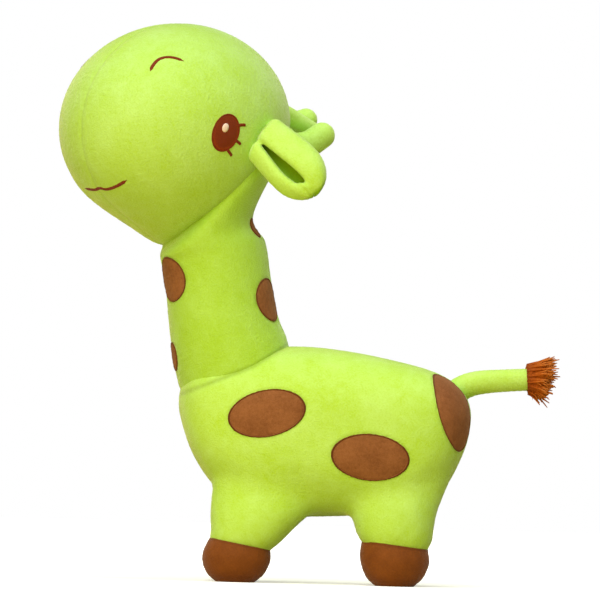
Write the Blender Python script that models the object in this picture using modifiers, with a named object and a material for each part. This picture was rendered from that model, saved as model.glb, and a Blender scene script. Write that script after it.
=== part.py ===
# Plush giraffe: stuffed body, neck, head, legs, ears, horns, forelock and tail, covers over their fillings.
# Metres, +Z up. The giraffe looks along -X with its head turned to -Y, its left side. The floor is Z = 0.
import math

import bmesh
import bpy
import numpy as np
from mathutils import Matrix, Vector

# Cloth and gaps
COVER = 0.0018
GAP = 0.0003
PATCH = 0.0012
THREAD = 0.0008
THREAD_WIDTH = 0.0026
EAR_LAYER = 0.0022
SOLE_CUT = 0.0005
OVERRUN = 0.3
SHARP = math.radians(50)
ROOT_REACH = 0.010
SEAT_STEPS = 6

# Body
BODY_LENGTH = 0.212
BODY_HEIGHT = 0.1205
BODY_WIDTH = 0.104
BELLY_HEIGHT = 0.048
BODY_POWER = 2.8
BODY_SIDES = 14
BODY_RINGS = 11

# Legs and feet
LEG_SPREAD = 0.029
FOOT_LENGTH = 0.0495
FOOT_WIDTH = 0.0440
FRONT_FOOT_HEIGHT = 0.0265
REAR_FOOT_HEIGHT = 0.0285
LEG_SIDES = 10
FOOT_RINGS = 5
LEG_RINGS = 6

# Neck
NECK_DEPTH = 0.080
NECK_WIDTH = 0.080
NECK_LENGTH = 0.1245
NECK_SIDES = 14
NECK_RINGS = 10

# Head
HEAD_LENGTH = 0.184
HEAD_WIDTH = 0.1528
HEAD_HEIGHT = 0.1460
HEAD_RISE = 0.0471
HEAD_REACH = 0.0355
HEAD_TURN = math.radians(42)
HEAD_NOD = math.radians(4.5)
THROAT_SHARE = 0.25
THROAT_SPREAD = math.radians(20)
HEAD_SIDES = 18
HEAD_RINGS = 12
SEAM_SLOPE = math.radians(41.1)
SEAM_ROLL = math.radians(5)

# Ears, horns, forelock and tail
EAR_LENGTH = 0.058
EAR_WIDTH = 0.042
EAR_DEPTH = 0.022
EAR_TUCK = 0.014
EAR_ROWS = 8
EAR_COLUMNS = 10
HORN_THICKNESS = 0.0170
NEAR_HORN_LENGTH = 0.0360
NEAR_HORN_RISE = 0.0030
FAR_HORN_LENGTH = 0.0508
FORELOCK_LENGTH = 0.0500
FORELOCK_THICKNESS = 0.0120
TAIL_LENGTH = 0.0455
TAIL_THICKNESS = 0.0164
TASSEL_LENGTH = 0.0220
TASSEL_WIDTH = 0.0275
TUCK = 0.012
TUBE_SIDES = 10
TUBE_RINGS = 5

# Ranges of the soft joints, down and up
EAR_SWING = (math.radians(-10), math.radians(15))
HORN_BEND = (math.radians(-12), math.radians(12))
FORELOCK_BEND = (math.radians(-10), math.radians(10))
TAIL_BEND = (math.radians(-15), math.radians(20))

# Spots, eyes, nostrils and mouth
SPOT_LENGTH = 0.056
SPOT_HEIGHT = 0.0335
RUMP_SPOT_HEIGHT = 0.056
RUMP_SPOT_WIDTH = 0.036
NECK_SPOT_HEIGHT = 0.033
NECK_SPOT_WIDTH = 0.026
EYE_HEIGHT = 0.0282
EYE_WIDTH = 0.0224
EYE_TILT = math.radians(-18.5)
LASH_LENGTH = 0.0062
GLINT_HEIGHT = 0.0056
GLINT_WIDTH = 0.0044
NOSTRIL_WIDTH = 0.0245
MOUTH_WIDTH = 0.0510
OVAL_POINTS = 18
HALVING_STEPS = 24
OVERREACH = 4
DOME_TURNS = (32, 60)

GREEN = (0.58, 0.83, 0.05)
PALE_GREEN = (0.66, 0.90, 0.16)
BROWN = (0.30, 0.10, 0.025)
FUR_BROWN = (0.38, 0.13, 0.02)
THREAD_BROWN = (0.21, 0.035, 0.006)
GLINT_PINK = (0.80, 0.62, 0.60)
WHITE = (0.86, 0.86, 0.84)

# Body stations: share of the length from the chest, of the height for back and belly, of the width
BODY_SHARES = (
    (0.000, 0.664, 0.664, 0.00),
    (0.012, 0.758, 0.560, 0.38),
    (0.055, 0.858, 0.350, 0.70),
    (0.135, 0.932, 0.160, 0.90),
    (0.270, 0.985, 0.030, 1.00),
    (0.430, 1.003, 0.000, 1.02),
    (0.600, 0.975, 0.000, 1.02),
    (0.740, 0.930, 0.030, 1.00),
    (0.850, 0.885, 0.110, 0.94),
    (0.930, 0.822, 0.250, 0.78),
    (0.983, 0.728, 0.440, 0.46),
    (1.000, 0.622, 0.622, 0.00),
)
# Leg stations: rise from foot to leg top, shift, half length and half width by the foot's, spread
FRONT_LEG_SHARES = (
    (0.000, 0.105, 0.93, 0.95, 1.00),
    (0.067, 0.290, 0.99, 1.00, 1.00),
    (0.160, 0.400, 1.18, 1.06, 0.99),
    (0.237, 0.510, 1.33, 1.10, 0.98),
    (0.360, 0.660, 1.50, 1.11, 0.96),
    (0.546, 0.740, 1.56, 1.02, 0.91),
    (1.000, 0.830, 1.41, 0.80, 0.80),
)
REAR_LEG_SHARES = (
    (0.000, 0.000, 1.02, 0.95, 1.00),
    (0.085, 0.010, 1.06, 1.00, 1.00),
    (0.260, 0.010, 1.17, 1.07, 0.99),
    (0.436, 0.010, 1.27, 1.09, 0.95),
    (0.627, 0.070, 1.38, 0.94, 0.88),
    (0.818, 0.250, 1.40, 0.82, 0.82),
    (1.000, 0.310, 1.29, 0.78, 0.80),
)
FRONT_LEG_SHARE = 0.214
REAR_LEG_SHARE = 0.747
LEG_TOP_SHARE = 0.36
# Foot stations: rise by the foot's height, half length and half width by the foot's
FOOT_SHARES = (
    (-0.020, 0.52),
    (0.060, 0.63),
    (0.200, 0.80),
    (0.420, 0.93),
    (0.680, 1.00),
    (1.000, 0.97),
)
# Neck stations: rise by the length, shift back by the depth, tilt, half depth and half width by the neck's
NECK_SHARES = (
    (-0.280, 0.255, 0.42, 0.98, 1.00),
    (-0.140, 0.145, 0.45, 1.04, 1.03),
    (-0.050, 0.100, 0.34, 1.03, 1.02),
    (0.050, 0.055, 0.26, 0.99, 1.00),
    (0.185, 0.010, 0.19, 0.955, 0.97),
    (0.340, -0.025, 0.17, 0.94, 0.96),
    (0.510, -0.060, 0.23, 0.94, 0.98),
    (0.622, -0.129, 0.45, 0.912, 1.03),
)
NECK_FOOT_SHARE = 0.140
NECK_SEAM_SHARE = 0.86
NECK_TOP_SHARE = 0.97
NECK_PAST_SHARE = 0.06
# Places on the head: turn from the snout to the left, and rise
EYE_PLACE = (math.radians(77), math.radians(-2))
NOSTRIL_PLACE = (math.radians(48.5), math.radians(44.7))
MOUTH_PLACE = (math.radians(0.4), math.radians(-32))
EAR_PLACE = (math.radians(101), math.radians(-4))
EAR_SEAT_PLACE = (math.radians(106.5), math.radians(-6.5))
NEAR_HORN_PLACE = (math.radians(176), math.radians(-12))
FAR_HORN_PLACE = (math.radians(-164), math.radians(-13.5))
FORELOCK_PLACE = (math.radians(180), math.radians(11.4))
# Directions in the head: forward, left, up
EAR_RUN = (-0.235, 0.775, -0.680)
EAR_ACROSS = (-0.582, 0.383, 0.717)
EAR_HINGE = (-0.836, -0.120, 0.537)
NEAR_HORN_RUN = (-32.1, 15.3, 0.9)
FAR_HORN_RUN = (-48.9, 3.9, 13.2)
FORELOCK_RUN = (-46.0, 0.0, -22.7)
# The ear's cup: turn at its lower and upper edge, and its size along it
EAR_LOWER_EDGE = math.radians(-152)
EAR_UPPER_EDGE = math.radians(184)
EAR_SIZE_SHARES = (0.86, 0.92, 1.0, 1.0, 0.96, 0.84, 0.42)
# Places of the path's points, and swell along the stuffed tubes
PATH_SHARES = (0.35, 0.7, 1.0)
HORN_SWELL_SHARES = (0.94, 1.0, 1.0, 0.98)
FORELOCK_SWELL_SHARES = (0.95, 1.0, 0.95)
TAIL_SWELL_SHARES = (1.06, 1.03, 1.0, 0.95, 0.93)
TASSEL_SWELL_SHARES = (0.88, 1.0, 0.98, 0.90)
TASSEL_LOBE_SHARE = 0.09
TAIL_RISE_SHARE = 0.795
TAIL_PLACE_SHARE = 0.962
TAIL_STEEPNESS = math.radians(13)
RUMP_STEEPNESS = math.radians(50)
# Body spots: place along the body and up it, tilt
BODY_SPOT_SHARES = (
    ("flank_front", 0.306, 0.601, math.radians(13)),
    ("flank_rear", 0.655, 0.359, math.radians(-4)),
)
RUMP_SPOT_SHARES = (0.925, -0.36, 0.637)
RUMP_SPOT_DEPTH_SHARE = 0.25
RUMP_SPOT_TURN = math.radians(37)
RUMP_SPOT_TILT = math.radians(17)
# Neck spots: rise up the neck, turn from the front to the left, size, tilt
NECK_SPOT_SHARES = (
    ("neck_front_upper", 0.36, math.radians(33), 1.0, math.radians(-6)),
    ("neck_front_lower", -0.07, math.radians(12), 0.9, math.radians(0)),
    ("neck_back_lower", 0.26, math.radians(145), 1.0, math.radians(12)),
    ("neck_back_upper", 0.655, math.radians(172), 0.75, math.radians(0)),
)
LASH_TURNS = (math.radians(27), math.radians(-27), math.radians(-76))
LASH_WIDTH_SHARE = 0.16
GLINT_RISE_SHARE = 0.17
# Shapes of the thread lines, by their width
NOSTRIL_SHARES = ((-0.502, -0.485), (-0.317, -0.194), (0.0, 0.0), (0.247, -0.040), (0.498, -0.141))
MOUTH_SHARES = (
    (-0.500, 0.040),
    (-0.363, -0.006),
    (-0.216, -0.030),
    (-0.100, -0.022),
    (0.0, 0.012),
    (0.100, -0.022),
    (0.216, -0.030),
    (0.363, -0.006),
    (0.500, 0.040),
)

SIDES = ((-1, "left"), (1, "right"))

collections = {}
home = {}


def collection(name):
    """A named collection of the scene, made once."""
    if name not in collections:
        collections[name] = bpy.data.collections.new(name)
        bpy.context.scene.collection.children.link(collections[name])
    return collections[name]


def material(name, colour, roughness):
    """A Principled material with a plain colour."""
    made = bpy.data.materials.new(name)
    made.use_nodes = True
    shader = made.node_tree.nodes["Principled BSDF"]
    shader.inputs["Base Color"].default_value = (*colour, 1.0)
    shader.inputs["Roughness"].default_value = roughness
    shader.inputs["Metallic"].default_value = 0.0
    made.diffuse_color = (*colour, 1.0)
    return made


def empty(name, place, parent=None):
    """A pivot: an empty at a place in the giraffe's own frame."""
    made = bpy.data.objects.new(name, None)
    collection("plush_giraffe").objects.link(made)
    made.empty_display_size = GAP
    made.parent = parent
    made.location = Vector(place) - (home[parent.name] if parent else Vector())
    home[name] = Vector(place)
    return made


def hang(thing, pivot):
    """Parents a piece to a pivot and leaves it where it is."""
    thing.parent = pivot
    thing.matrix_parent_inverse = Matrix.Translation(-home[pivot.name])
    return thing


def mesh_object(name, points, faces, finish=None):
    """A mesh object from points and faces: a part if it has a finish, else a cutter."""
    mesh = bpy.data.meshes.new(name)
    mesh.from_pydata([tuple(p) for p in points], [], [tuple(f) for f in faces])
    mesh.validate()
    made = bpy.data.objects.new(name, mesh)
    hang(made, bpy.data.objects["stand"])
    if finish is None:
        collection("cutters").objects.link(made)
        made.hide_render = True
        made.display_type = "WIRE"
        return made
    collection("plush_giraffe").objects.link(made)
    mesh.materials.append(finish)
    mesh.shade_smooth()
    mesh.set_sharp_from_angle(angle=SHARP)
    return made


def solidify(thing, thickness, offset):
    """Gives an open surface its cloth thickness."""
    wall = thing.modifiers.new("cloth", "SOLIDIFY")
    wall.thickness = thickness
    wall.offset = offset
    wall.use_even_offset = True
    return thing


def boolean(thing, cutter, operation="DIFFERENCE"):
    """Cuts or keeps with another solid."""
    cut = thing.modifiers.new("cut", "BOOLEAN")
    cut.operation = operation
    cut.solver = "EXACT"
    cut.object = cutter
    return thing


def smooth_rows(rows, count):
    """Rows read at equal steps from a Catmull-Rom curve through the given rows."""
    rows = np.asarray(rows, dtype=float)
    ends = np.vstack([2 * rows[0] - rows[1], rows, 2 * rows[-1] - rows[-2]])
    place = np.linspace(0, len(rows) - 1, count)
    index = np.minimum(place.astype(int), len(rows) - 2)
    t = (place - index)[:, None]
    a, b, c, d = (ends[index + step] for step in range(4))
    bend = 2 * a - 5 * b + 4 * c - d
    twist = 3 * (b - c) + d - a
    return 0.5 * (2 * b + (c - a) * t + bend * t ** 2 + twist * t ** 3)


def ring_points(centres, first_axes, second_axes, sides, power=2.0):
    """Closed rings: centre + first axis * cosine + second axis * sine, squared off by the power."""
    angle = np.linspace(0, 2 * math.pi, sides, endpoint=False)
    cosine = np.cos(angle)
    sine = np.sin(angle)
    share = (np.abs(cosine) ** power + np.abs(sine) ** power) ** (-1 / power)
    along = (share * cosine)[None, :, None]
    across = (share * sine)[None, :, None]
    return centres[:, None, :] + first_axes[:, None, :] * along + second_axes[:, None, :] * across


class Form:
    """A stuffed form: rings of points with a pole or an open ring at each end."""

    def __init__(self, rings, first_pole=None, last_pole=None):
        self.rings = np.asarray(rings, dtype=float)
        self.count, self.sides = self.rings.shape[:2]
        self.first_pole = first_pole
        self.last_pole = last_pole
        self.points = self.all_points()
        if self.volume() < 0:
            self.turned = True
        self.normals = self.point_normals()

    turned = False

    def all_points(self):
        """Ring points, then the two end points."""
        first = self.rings[0].mean(0) if self.first_pole is None else self.first_pole
        last = self.rings[-1].mean(0) if self.last_pole is None else self.last_pole
        return np.vstack([self.rings.reshape(-1, 3), first, last])

    def faces(self, start=0, stop=None, first=True, last=True, rings=None):
        """Triangles between the rings from side start to side stop, and to the end points."""
        stop = self.sides if stop is None else stop
        low, high = rings or (0, self.count - 1)
        made = []
        end = self.count * self.sides
        for r in range(low, high):
            for i in range(start, stop):
                j = (i + 1) % self.sides
                a = r * self.sides + i
                b = r * self.sides + j
                c = b + self.sides
                d = a + self.sides
                made += [(a, b, c), (a, c, d)] if i < self.sides // 2 else [(a, b, d), (b, c, d)]
        for i in range(start, stop):
            j = (i + 1) % self.sides
            if first:
                made.append((j, i, end))
            if last:
                made.append((end - self.sides + i, end - self.sides + j, end + 1))
        return [tuple(reversed(f)) for f in made] if self.turned else made

    def volume(self):
        """Six times the signed volume of the closed form."""
        a, b, c = (self.points[list(k)] for k in zip(*self.faces()))
        return np.sum(a * np.cross(b, c))

    def point_normals(self):
        """Mean of the face normals round each point, leaving out the flat ends."""
        faces = np.array(self.faces(first=self.first_pole is not None, last=self.last_pole is not None))
        a, b, c = (self.points[faces[:, k]] for k in range(3))
        normals = np.zeros_like(self.points)
        for k in range(3):
            np.add.at(normals, faces[:, k], np.cross(b - a, c - a))
        lengths = np.linalg.norm(normals, axis=1)[:, None]
        return normals / np.where(lengths > 0, lengths, 1)

    def grown(self, distance):
        """The points moved along their normals."""
        return self.points + self.normals * distance


def compact(points, faces):
    """Only the points that the faces use."""
    used = sorted({k for f in faces for k in f})
    place = {k: n for n, k in enumerate(used)}
    return [points[k] for k in used], [tuple(place[k] for k in f) for f in faces]


def shell(name, outer, inner, faces, finish):
    """A closed shell between two skins with the same faces, with a rim round its open edges."""
    count = len(outer)
    edges = {(f[k], f[(k + 1) % len(f)]) for f in faces for k in range(len(f))}
    rim = [(b, a, a + count, b + count) for a, b in edges if (b, a) not in edges]
    back = [tuple(k + count for k in reversed(f)) for f in faces]
    points, faces = compact(np.vstack([outer, inner]), faces + back + sorted(rim))
    return mesh_object(name, points, faces, finish)


def glint_outline():
    """The small oval glint, above the eye's middle."""
    rise = EYE_HEIGHT * GLINT_RISE_SHARE
    return [(a, b + rise) for a, b in oval(GLINT_WIDTH, GLINT_HEIGHT)]


def half_cover(name, form, side, spread, finish, first=True, last=True):
    """One side's cover: half of the form's skin with its cloth thickness, half a gap off the seam plane."""
    middle = form.sides // 2
    start, stop = (0, middle) if side < 0 else (middle, form.sides)
    seam = [r * form.sides + i for r in range(form.count) for i in (0, middle)]
    seam += [form.count * form.sides, form.count * form.sides + 1]
    skins = [form.points.copy(), form.grown(-COVER)]
    for points in skins:
        points[seam] += np.asarray(spread) * (GAP / 2 * side)
    return shell(name, *skins, form.faces(start, stop, first, last), finish)


def whole_cover(name, form, finish, first=False, last=False, rings=None):
    """A cover in one piece over the given rings, open at the ends that say so."""
    faces = form.faces(first=first, last=last, rings=rings)
    return shell(name, form.points, form.grown(-COVER), faces, finish)


def filling(name, form, finish):
    """The stuffing: the form drawn in by its cover and a gap."""
    return mesh_object(name, form.grown(-COVER - GAP), form.faces(), finish)


def grown_cutter(name, form, distance=GAP):
    """The whole form, a gap larger, as a cutter."""
    return mesh_object(name, form.grown(distance), form.faces())


def prism(name, outline, origin, right, up, depth, mirror=None):
    """A straight prism on an outline in the right and up directions, along their cross product."""
    right = Vector(right).normalized()
    up = Vector(up).normalized()
    away = right.cross(up).normalized()
    near = [Vector(origin) + right * a + up * b for a, b in outline]
    far = [p + away * depth for p in near]
    count = len(near)
    faces = [(k, (k + 1) % count, (k + 1) % count + count, k + count) for k in range(count)]
    faces.append(tuple(reversed(range(count))))
    faces.append(tuple(range(count, 2 * count)))
    points = near + far
    if mirror:
        points = mirrored(points, *mirror)
    made = mesh_object(name, points, faces)
    outward(made.data)
    return made


def outward(mesh):
    """Turns a closed mesh's faces outwards."""
    work = bmesh.new()
    work.from_mesh(mesh)
    bmesh.ops.recalc_face_normals(work, faces=work.faces)
    work.to_mesh(mesh)
    work.free()


def applique(name, form, cutter, thickness, finish, low=GAP):
    """A flat piece on a form: the shell between two grown skins, kept inside the cutter."""
    made = mesh_object(name, form.grown(low + thickness), form.faces(), finish)
    boolean(made, cutter, "INTERSECT")
    return boolean(made, grown_cutter(name + "_bed", form, low))


def oval(length, height, tilt=0.0, count=OVAL_POINTS):
    """An ellipse's points, turned by its tilt."""
    angle = np.linspace(0, 2 * math.pi, count, endpoint=False)
    a = length / 2 * np.cos(angle)
    b = height / 2 * np.sin(angle)
    return list(zip(a * math.cos(tilt) - b * math.sin(tilt), a * math.sin(tilt) + b * math.cos(tilt)))


def ribbon(line, width):
    """The outline of a thin band along a line of points."""
    line = np.asarray(line, dtype=float)
    run = np.gradient(line, axis=0)
    run /= np.linalg.norm(run, axis=1)[:, None]
    side = np.stack([-run[:, 1], run[:, 0]], 1) * (width / 2)
    return [tuple(p) for p in line + side] + [tuple(p) for p in (line - side)[::-1]]


def eye_outline():
    """The eye's leaning oval with a lash standing out at each lash turn."""
    tall = EYE_HEIGHT / 2
    wide = EYE_WIDTH / 2
    turns = [(turn, False) for turn in np.linspace(-math.pi, math.pi, OVAL_POINTS, endpoint=False)]
    turns = [t for t in turns if all(abs(t[0] - lash) > LASH_WIDTH_SHARE for lash in LASH_TURNS)]
    for lash in LASH_TURNS:
        half = LASH_WIDTH_SHARE / 2
        turns += [(lash - half, False), (lash - half, True), (lash + half, True), (lash + half, False)]
    turns.sort(key=lambda t: t[0])
    outline = []
    for k, (turn, out) in enumerate(turns):
        reach = 1 / math.hypot(math.cos(turn) / wide, math.sin(turn) / tall)
        if out:
            reach += LASH_LENGTH
        a = reach * math.cos(turn)
        b = reach * math.sin(turn)
        across = a * math.cos(EYE_TILT) - b * math.sin(EYE_TILT)
        rise = a * math.sin(EYE_TILT) + b * math.cos(EYE_TILT)
        outline.append((across, rise))
    return outline


def mirrored(points, middle, normal):
    """Points mirrored in a plane."""
    points = np.asarray(points, dtype=float)
    normal = np.array(normal)
    return points - np.outer((points - np.array(middle)) @ normal, 2 * normal)


def body_form():
    """The body: upright rounded sections from chest to rump."""
    rows = smooth_rows(BODY_SHARES[1:-1], BODY_RINGS)
    chest = -BODY_LENGTH / 2
    height = BELLY_HEIGHT + BODY_HEIGHT * (rows[:, 1] + rows[:, 2]) / 2
    centres = np.stack([chest + BODY_LENGTH * rows[:, 0], np.zeros(len(rows)), height], 1)
    ups = np.zeros_like(centres)
    ups[:, 2] = BODY_HEIGHT * (rows[:, 1] - rows[:, 2]) / 2
    sides = np.zeros_like(centres)
    sides[:, 1] = -BODY_WIDTH / 2 * rows[:, 3]
    rings = ring_points(centres, ups, sides, BODY_SIDES, BODY_POWER)
    first = np.array([chest, 0, BELLY_HEIGHT + BODY_HEIGHT * BODY_SHARES[0][1]])
    last = np.array([chest + BODY_LENGTH, 0, BELLY_HEIGHT + BODY_HEIGHT * BODY_SHARES[-1][1]])
    return Form(rings, first, last)


def leg_form(side, share, foot_height, shares):
    """One limb from sole to body: the rings of its foot, then those of its leg."""
    x = BODY_LENGTH * (share - 0.5)
    y = LEG_SPREAD * side
    foot_rows = smooth_rows(FOOT_SHARES, FOOT_RINGS)
    leg_rows = smooth_rows(shares, LEG_RINGS)
    top = BELLY_HEIGHT + BODY_HEIGHT * LEG_TOP_SHARE
    rows = []
    for height, reach in foot_rows:
        rows.append((x, y, foot_height * height, reach, reach))
    rows[-1] = (x, y, foot_height - GAP / 2, reach, reach)
    for rise, shift, long_share, wide_share, spread in leg_rows:
        height = foot_height + GAP / 2 + (top - foot_height) * rise
        rows.append((x + FOOT_LENGTH / 2 * shift, y * spread, height, long_share, wide_share))
    rows = np.array(rows)
    long_axes = np.outer(rows[:, 3], (FOOT_LENGTH / 2, 0, 0))
    wide_axes = np.outer(rows[:, 4], (0, -FOOT_WIDTH / 2, 0))
    return Form(ring_points(rows[:, :3], long_axes, wide_axes, LEG_SIDES), np.array([x, y, -SOLE_CUT]))


def seam_axes():
    """The head seam's plane: back direction, near direction and the normal into the head."""
    back = Vector((math.cos(SEAM_SLOPE), 0, math.sin(SEAM_SLOPE)))
    near = Matrix.Rotation(SEAM_ROLL, 3, back) @ Vector((0, -1, 0))
    normal = back.cross(near).normalized()
    if normal.z < 0:
        normal = -normal
    return back, near, normal


def neck_places():
    """The neck's foot on the body and the middle of the head seam."""
    foot_x = BODY_LENGTH * (NECK_FOOT_SHARE - 0.5)
    foot_z = BELLY_HEIGHT + BODY_HEIGHT
    foot = Vector((foot_x, 0, foot_z))
    seam = foot + Vector((0, 0, NECK_LENGTH * NECK_SEAM_SHARE))
    return foot, seam


def neck_form():
    """The neck: tilted oval sections that fan out to the head's own section in the seam's plane."""
    foot, seam = neck_places()
    back, near, normal = seam_axes()
    rows = []
    for rise, shift, tilt, depth, width in NECK_SHARES:
        centre = foot + Vector((NECK_DEPTH * shift, 0, NECK_LENGTH * rise))
        half = NECK_DEPTH / 2 * depth
        deep = (half * math.cos(tilt), 0, half * math.sin(tilt))
        rows.append((*centre, *deep, 0, -NECK_WIDTH / 2 * width, 0))
    rows = np.array(rows)
    rings = list(ring_points(rows[:, 0:3], rows[:, 3:6], rows[:, 6:9], NECK_SIDES))
    top = head_section(np.array(seam), np.array(back), np.array(near))
    rings.append(top)
    rings.append(top + np.array((normal.x, 0, normal.z)) * (NECK_LENGTH * NECK_PAST_SHARE))
    flat = smooth_rows([ring.reshape(-1) for ring in rings], NECK_RINGS)
    return Form(flat.reshape(NECK_RINGS, NECK_SIDES, 3))


def head_section(seam, back, near):
    """The head's outline in the seam's plane, drawn in a little: the neck's top ring."""
    angle = np.linspace(0, 2 * math.pi, NECK_SIDES, endpoint=False)
    run = np.outer(np.cos(angle), back) + np.outer(np.sin(angle), near)
    low = np.zeros(NECK_SIDES)
    high = np.full(NECK_SIDES, HEAD_LENGTH)
    axes = np.array(head_axes())
    halves = np.array((HEAD_LENGTH, HEAD_WIDTH, HEAD_HEIGHT)) / 2
    for _ in range(HALVING_STEPS):
        reach = (low + high) / 2
        away = seam + run * reach[:, None] - np.array(head_middle())
        size = np.linalg.norm(away @ axes.T / halves, axis=1) / throat(away)[:, 0]
        inside = size < 1
        low = np.where(inside, reach, low)
        high = np.where(inside, high, reach)
    return seam + run * (NECK_TOP_SHARE * low)[:, None]


def head_axes():
    """The head's forward, left and up directions."""
    flat = Vector((-math.cos(HEAD_TURN), -math.sin(HEAD_TURN), 0))
    left = Vector((math.sin(HEAD_TURN), -math.cos(HEAD_TURN), 0))
    forward = flat * math.cos(HEAD_NOD) - Vector((0, 0, 1)) * math.sin(HEAD_NOD)
    up = Vector((0, 0, 1)) * math.cos(HEAD_NOD) + flat * math.sin(HEAD_NOD)
    return forward, left, up


def head_middle():
    """The head's middle, set from the head seam."""
    seam = neck_places()[1]
    return seam + Vector((-HEAD_REACH, 0, HEAD_RISE))


def throat(away):
    """How far the head's underside is drawn down towards the neck, by direction from its middle."""
    length = np.linalg.norm(away, axis=-1, keepdims=True)
    angle = np.arccos(np.clip(-away[..., 2:3] / length, -1, 1))
    return 1 + THROAT_SHARE * np.exp(-angle / THROAT_SPREAD)


def with_throat(points):
    """Points of the plain egg moved out to the throat."""
    middle = np.array(head_middle())
    away = points - middle
    return middle + away * throat(away)


def head_place(place):
    """A place on the head: the point, its outward normal, and right and up seen from outside."""
    turn, rise = place
    axes = head_axes()
    shares = (math.cos(rise) * math.cos(turn), math.cos(rise) * math.sin(turn), math.sin(rise))
    halves = (HEAD_LENGTH / 2, HEAD_WIDTH / 2, HEAD_HEIGHT / 2)
    point = head_middle()
    normal = Vector()
    for axis, share, half in zip(axes, shares, halves):
        point += axis * (share * half)
        normal += axis * (share / half)
    normal.normalize()
    right = axes[2].cross(normal).normalized()
    return point, normal, right, normal.cross(right)


def head_direction(shares):
    """A direction given by its forward, left and up shares in the head."""
    forward, left, up = head_axes()
    return (forward * shares[0] + left * shares[1] + up * shares[2]).normalized()


def head_form():
    """The head: an egg of oval rings from the snout to the back, with a throat."""
    forward, left, up = (np.array(v) for v in head_axes())
    middle = np.array(head_middle())
    angle = np.linspace(0, math.pi, HEAD_RINGS + 2)[1:-1]
    centres = middle + forward * (HEAD_LENGTH / 2 * np.cos(angle))[:, None]
    ups = up * (HEAD_HEIGHT / 2 * np.sin(angle))[:, None]
    sides = left * (HEAD_WIDTH / 2 * np.sin(angle))[:, None]
    rings = with_throat(ring_points(centres, ups, sides, HEAD_SIDES))
    ends = with_throat(middle + np.stack([forward, -forward]) * (HEAD_LENGTH / 2))
    return Form(rings, ends[0], ends[1])


def stuffed_tube(path, thickness, swell_shares, dome=True, lobes=False):
    """A stuffed tube: oval rings square to a path of points, with a round far end where asked."""
    path = smooth_rows([tuple(p) for p in path], TUBE_RINGS)
    run = np.gradient(path, axis=0)
    run /= np.linalg.norm(run, axis=1)[:, None]
    place = np.linspace(0, 1, TUBE_RINGS)
    reach = np.interp(place, np.linspace(0, 1, len(swell_shares)), swell_shares) * thickness / 2
    pole = None
    if dome:
        pole = path[-1] + run[-1] * reach[-1]
        angle = np.radians(DOME_TURNS)
        path = np.vstack([path, path[-1] + np.outer(reach[-1] * np.sin(angle), run[-1])])
        run = np.vstack([run, run[-1:], run[-1:]])
        reach = np.append(reach, reach[-1] * np.cos(angle))
    side = np.cross(run, np.array([0, 0, 1.0]))
    side /= np.linalg.norm(side, axis=1)[:, None]
    top = np.cross(side, run)
    sides = TUBE_SIDES
    rings = ring_points(path, top * reach[:, None], side * reach[:, None], sides)
    if lobes:
        wave = 1 + TASSEL_LOBE_SHARE * np.where(np.arange(sides) % 2, 1, -1)
        rings = path[:, None] + (rings - path[:, None]) * wave[None, :, None]
    return Form(rings, last_pole=pole)


def bent_path(root, run, length, sag=0.0):
    """A path from inside the root along a run, sagging towards its end."""
    places = (-TUCK, *(length * share for share in PATH_SHARES))
    drop = Vector((0, 0, -sag))
    return [root + run * place + drop * max(place / length, 0) ** 2 for place in places]


def seat(form, place, normal, axis, piece):
    """The place moved out until the form, a gap larger, lies behind it under the piece's root."""
    steps = np.arange(SEAT_STEPS + 1) / SEAT_STEPS
    weights = np.array([(1 - i, i - j, j) for i in steps for j in steps if j <= i])
    surface = (weights @ form.grown(GAP)[np.array(form.faces())]).reshape(-1, 3)
    directions = np.array([axis, Vector(normal).cross(Vector(axis)), normal]).T
    surface = (surface - np.array(place)) @ directions
    root = (np.array(piece) - np.array(place)) @ directions
    root = root[np.abs(root[:, 2]) < ROOT_REACH]
    under = ((surface[:, :2] > root[:, :2].min(0)) & (surface[:, :2] < root[:, :2].max(0))).all(1)
    return Vector(place) + Vector(normal) * surface[under][:, 2].max()


def root_wedge(name, place, normal, axis, swing):
    """What a hinged piece leaves free at its root: all behind the seat, and its swing's wedges."""
    width = HEAD_WIDTH / 2
    low, high = sorted(swing)
    outline = [
        (-width, width * math.tan(high)),
        (-width, -width),
        (width, -width),
        (width, width * math.tan(-low)),
        (0, 0),
    ]
    across = Vector(normal).cross(Vector(axis))
    return prism(name, outline, Vector(place) - Vector(axis) * width, across, normal, 2 * width)


def square(axis, normal):
    """The axis turned square to the normal."""
    return (axis - normal * axis.dot(normal)).normalized()


def flip_mesh(thing, mirror):
    """Mirrors a cutter's mesh in a plane and keeps its faces outward."""
    for vertex, place in zip(thing.data.vertices, mirrored([v.co for v in thing.data.vertices], *mirror)):
        vertex.co = place
    outward(thing.data)


def trim(thing, skins):
    """Cuts a piece back from each of the given skins."""
    for skin in skins:
        boolean(thing, skin)
    return thing


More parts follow.
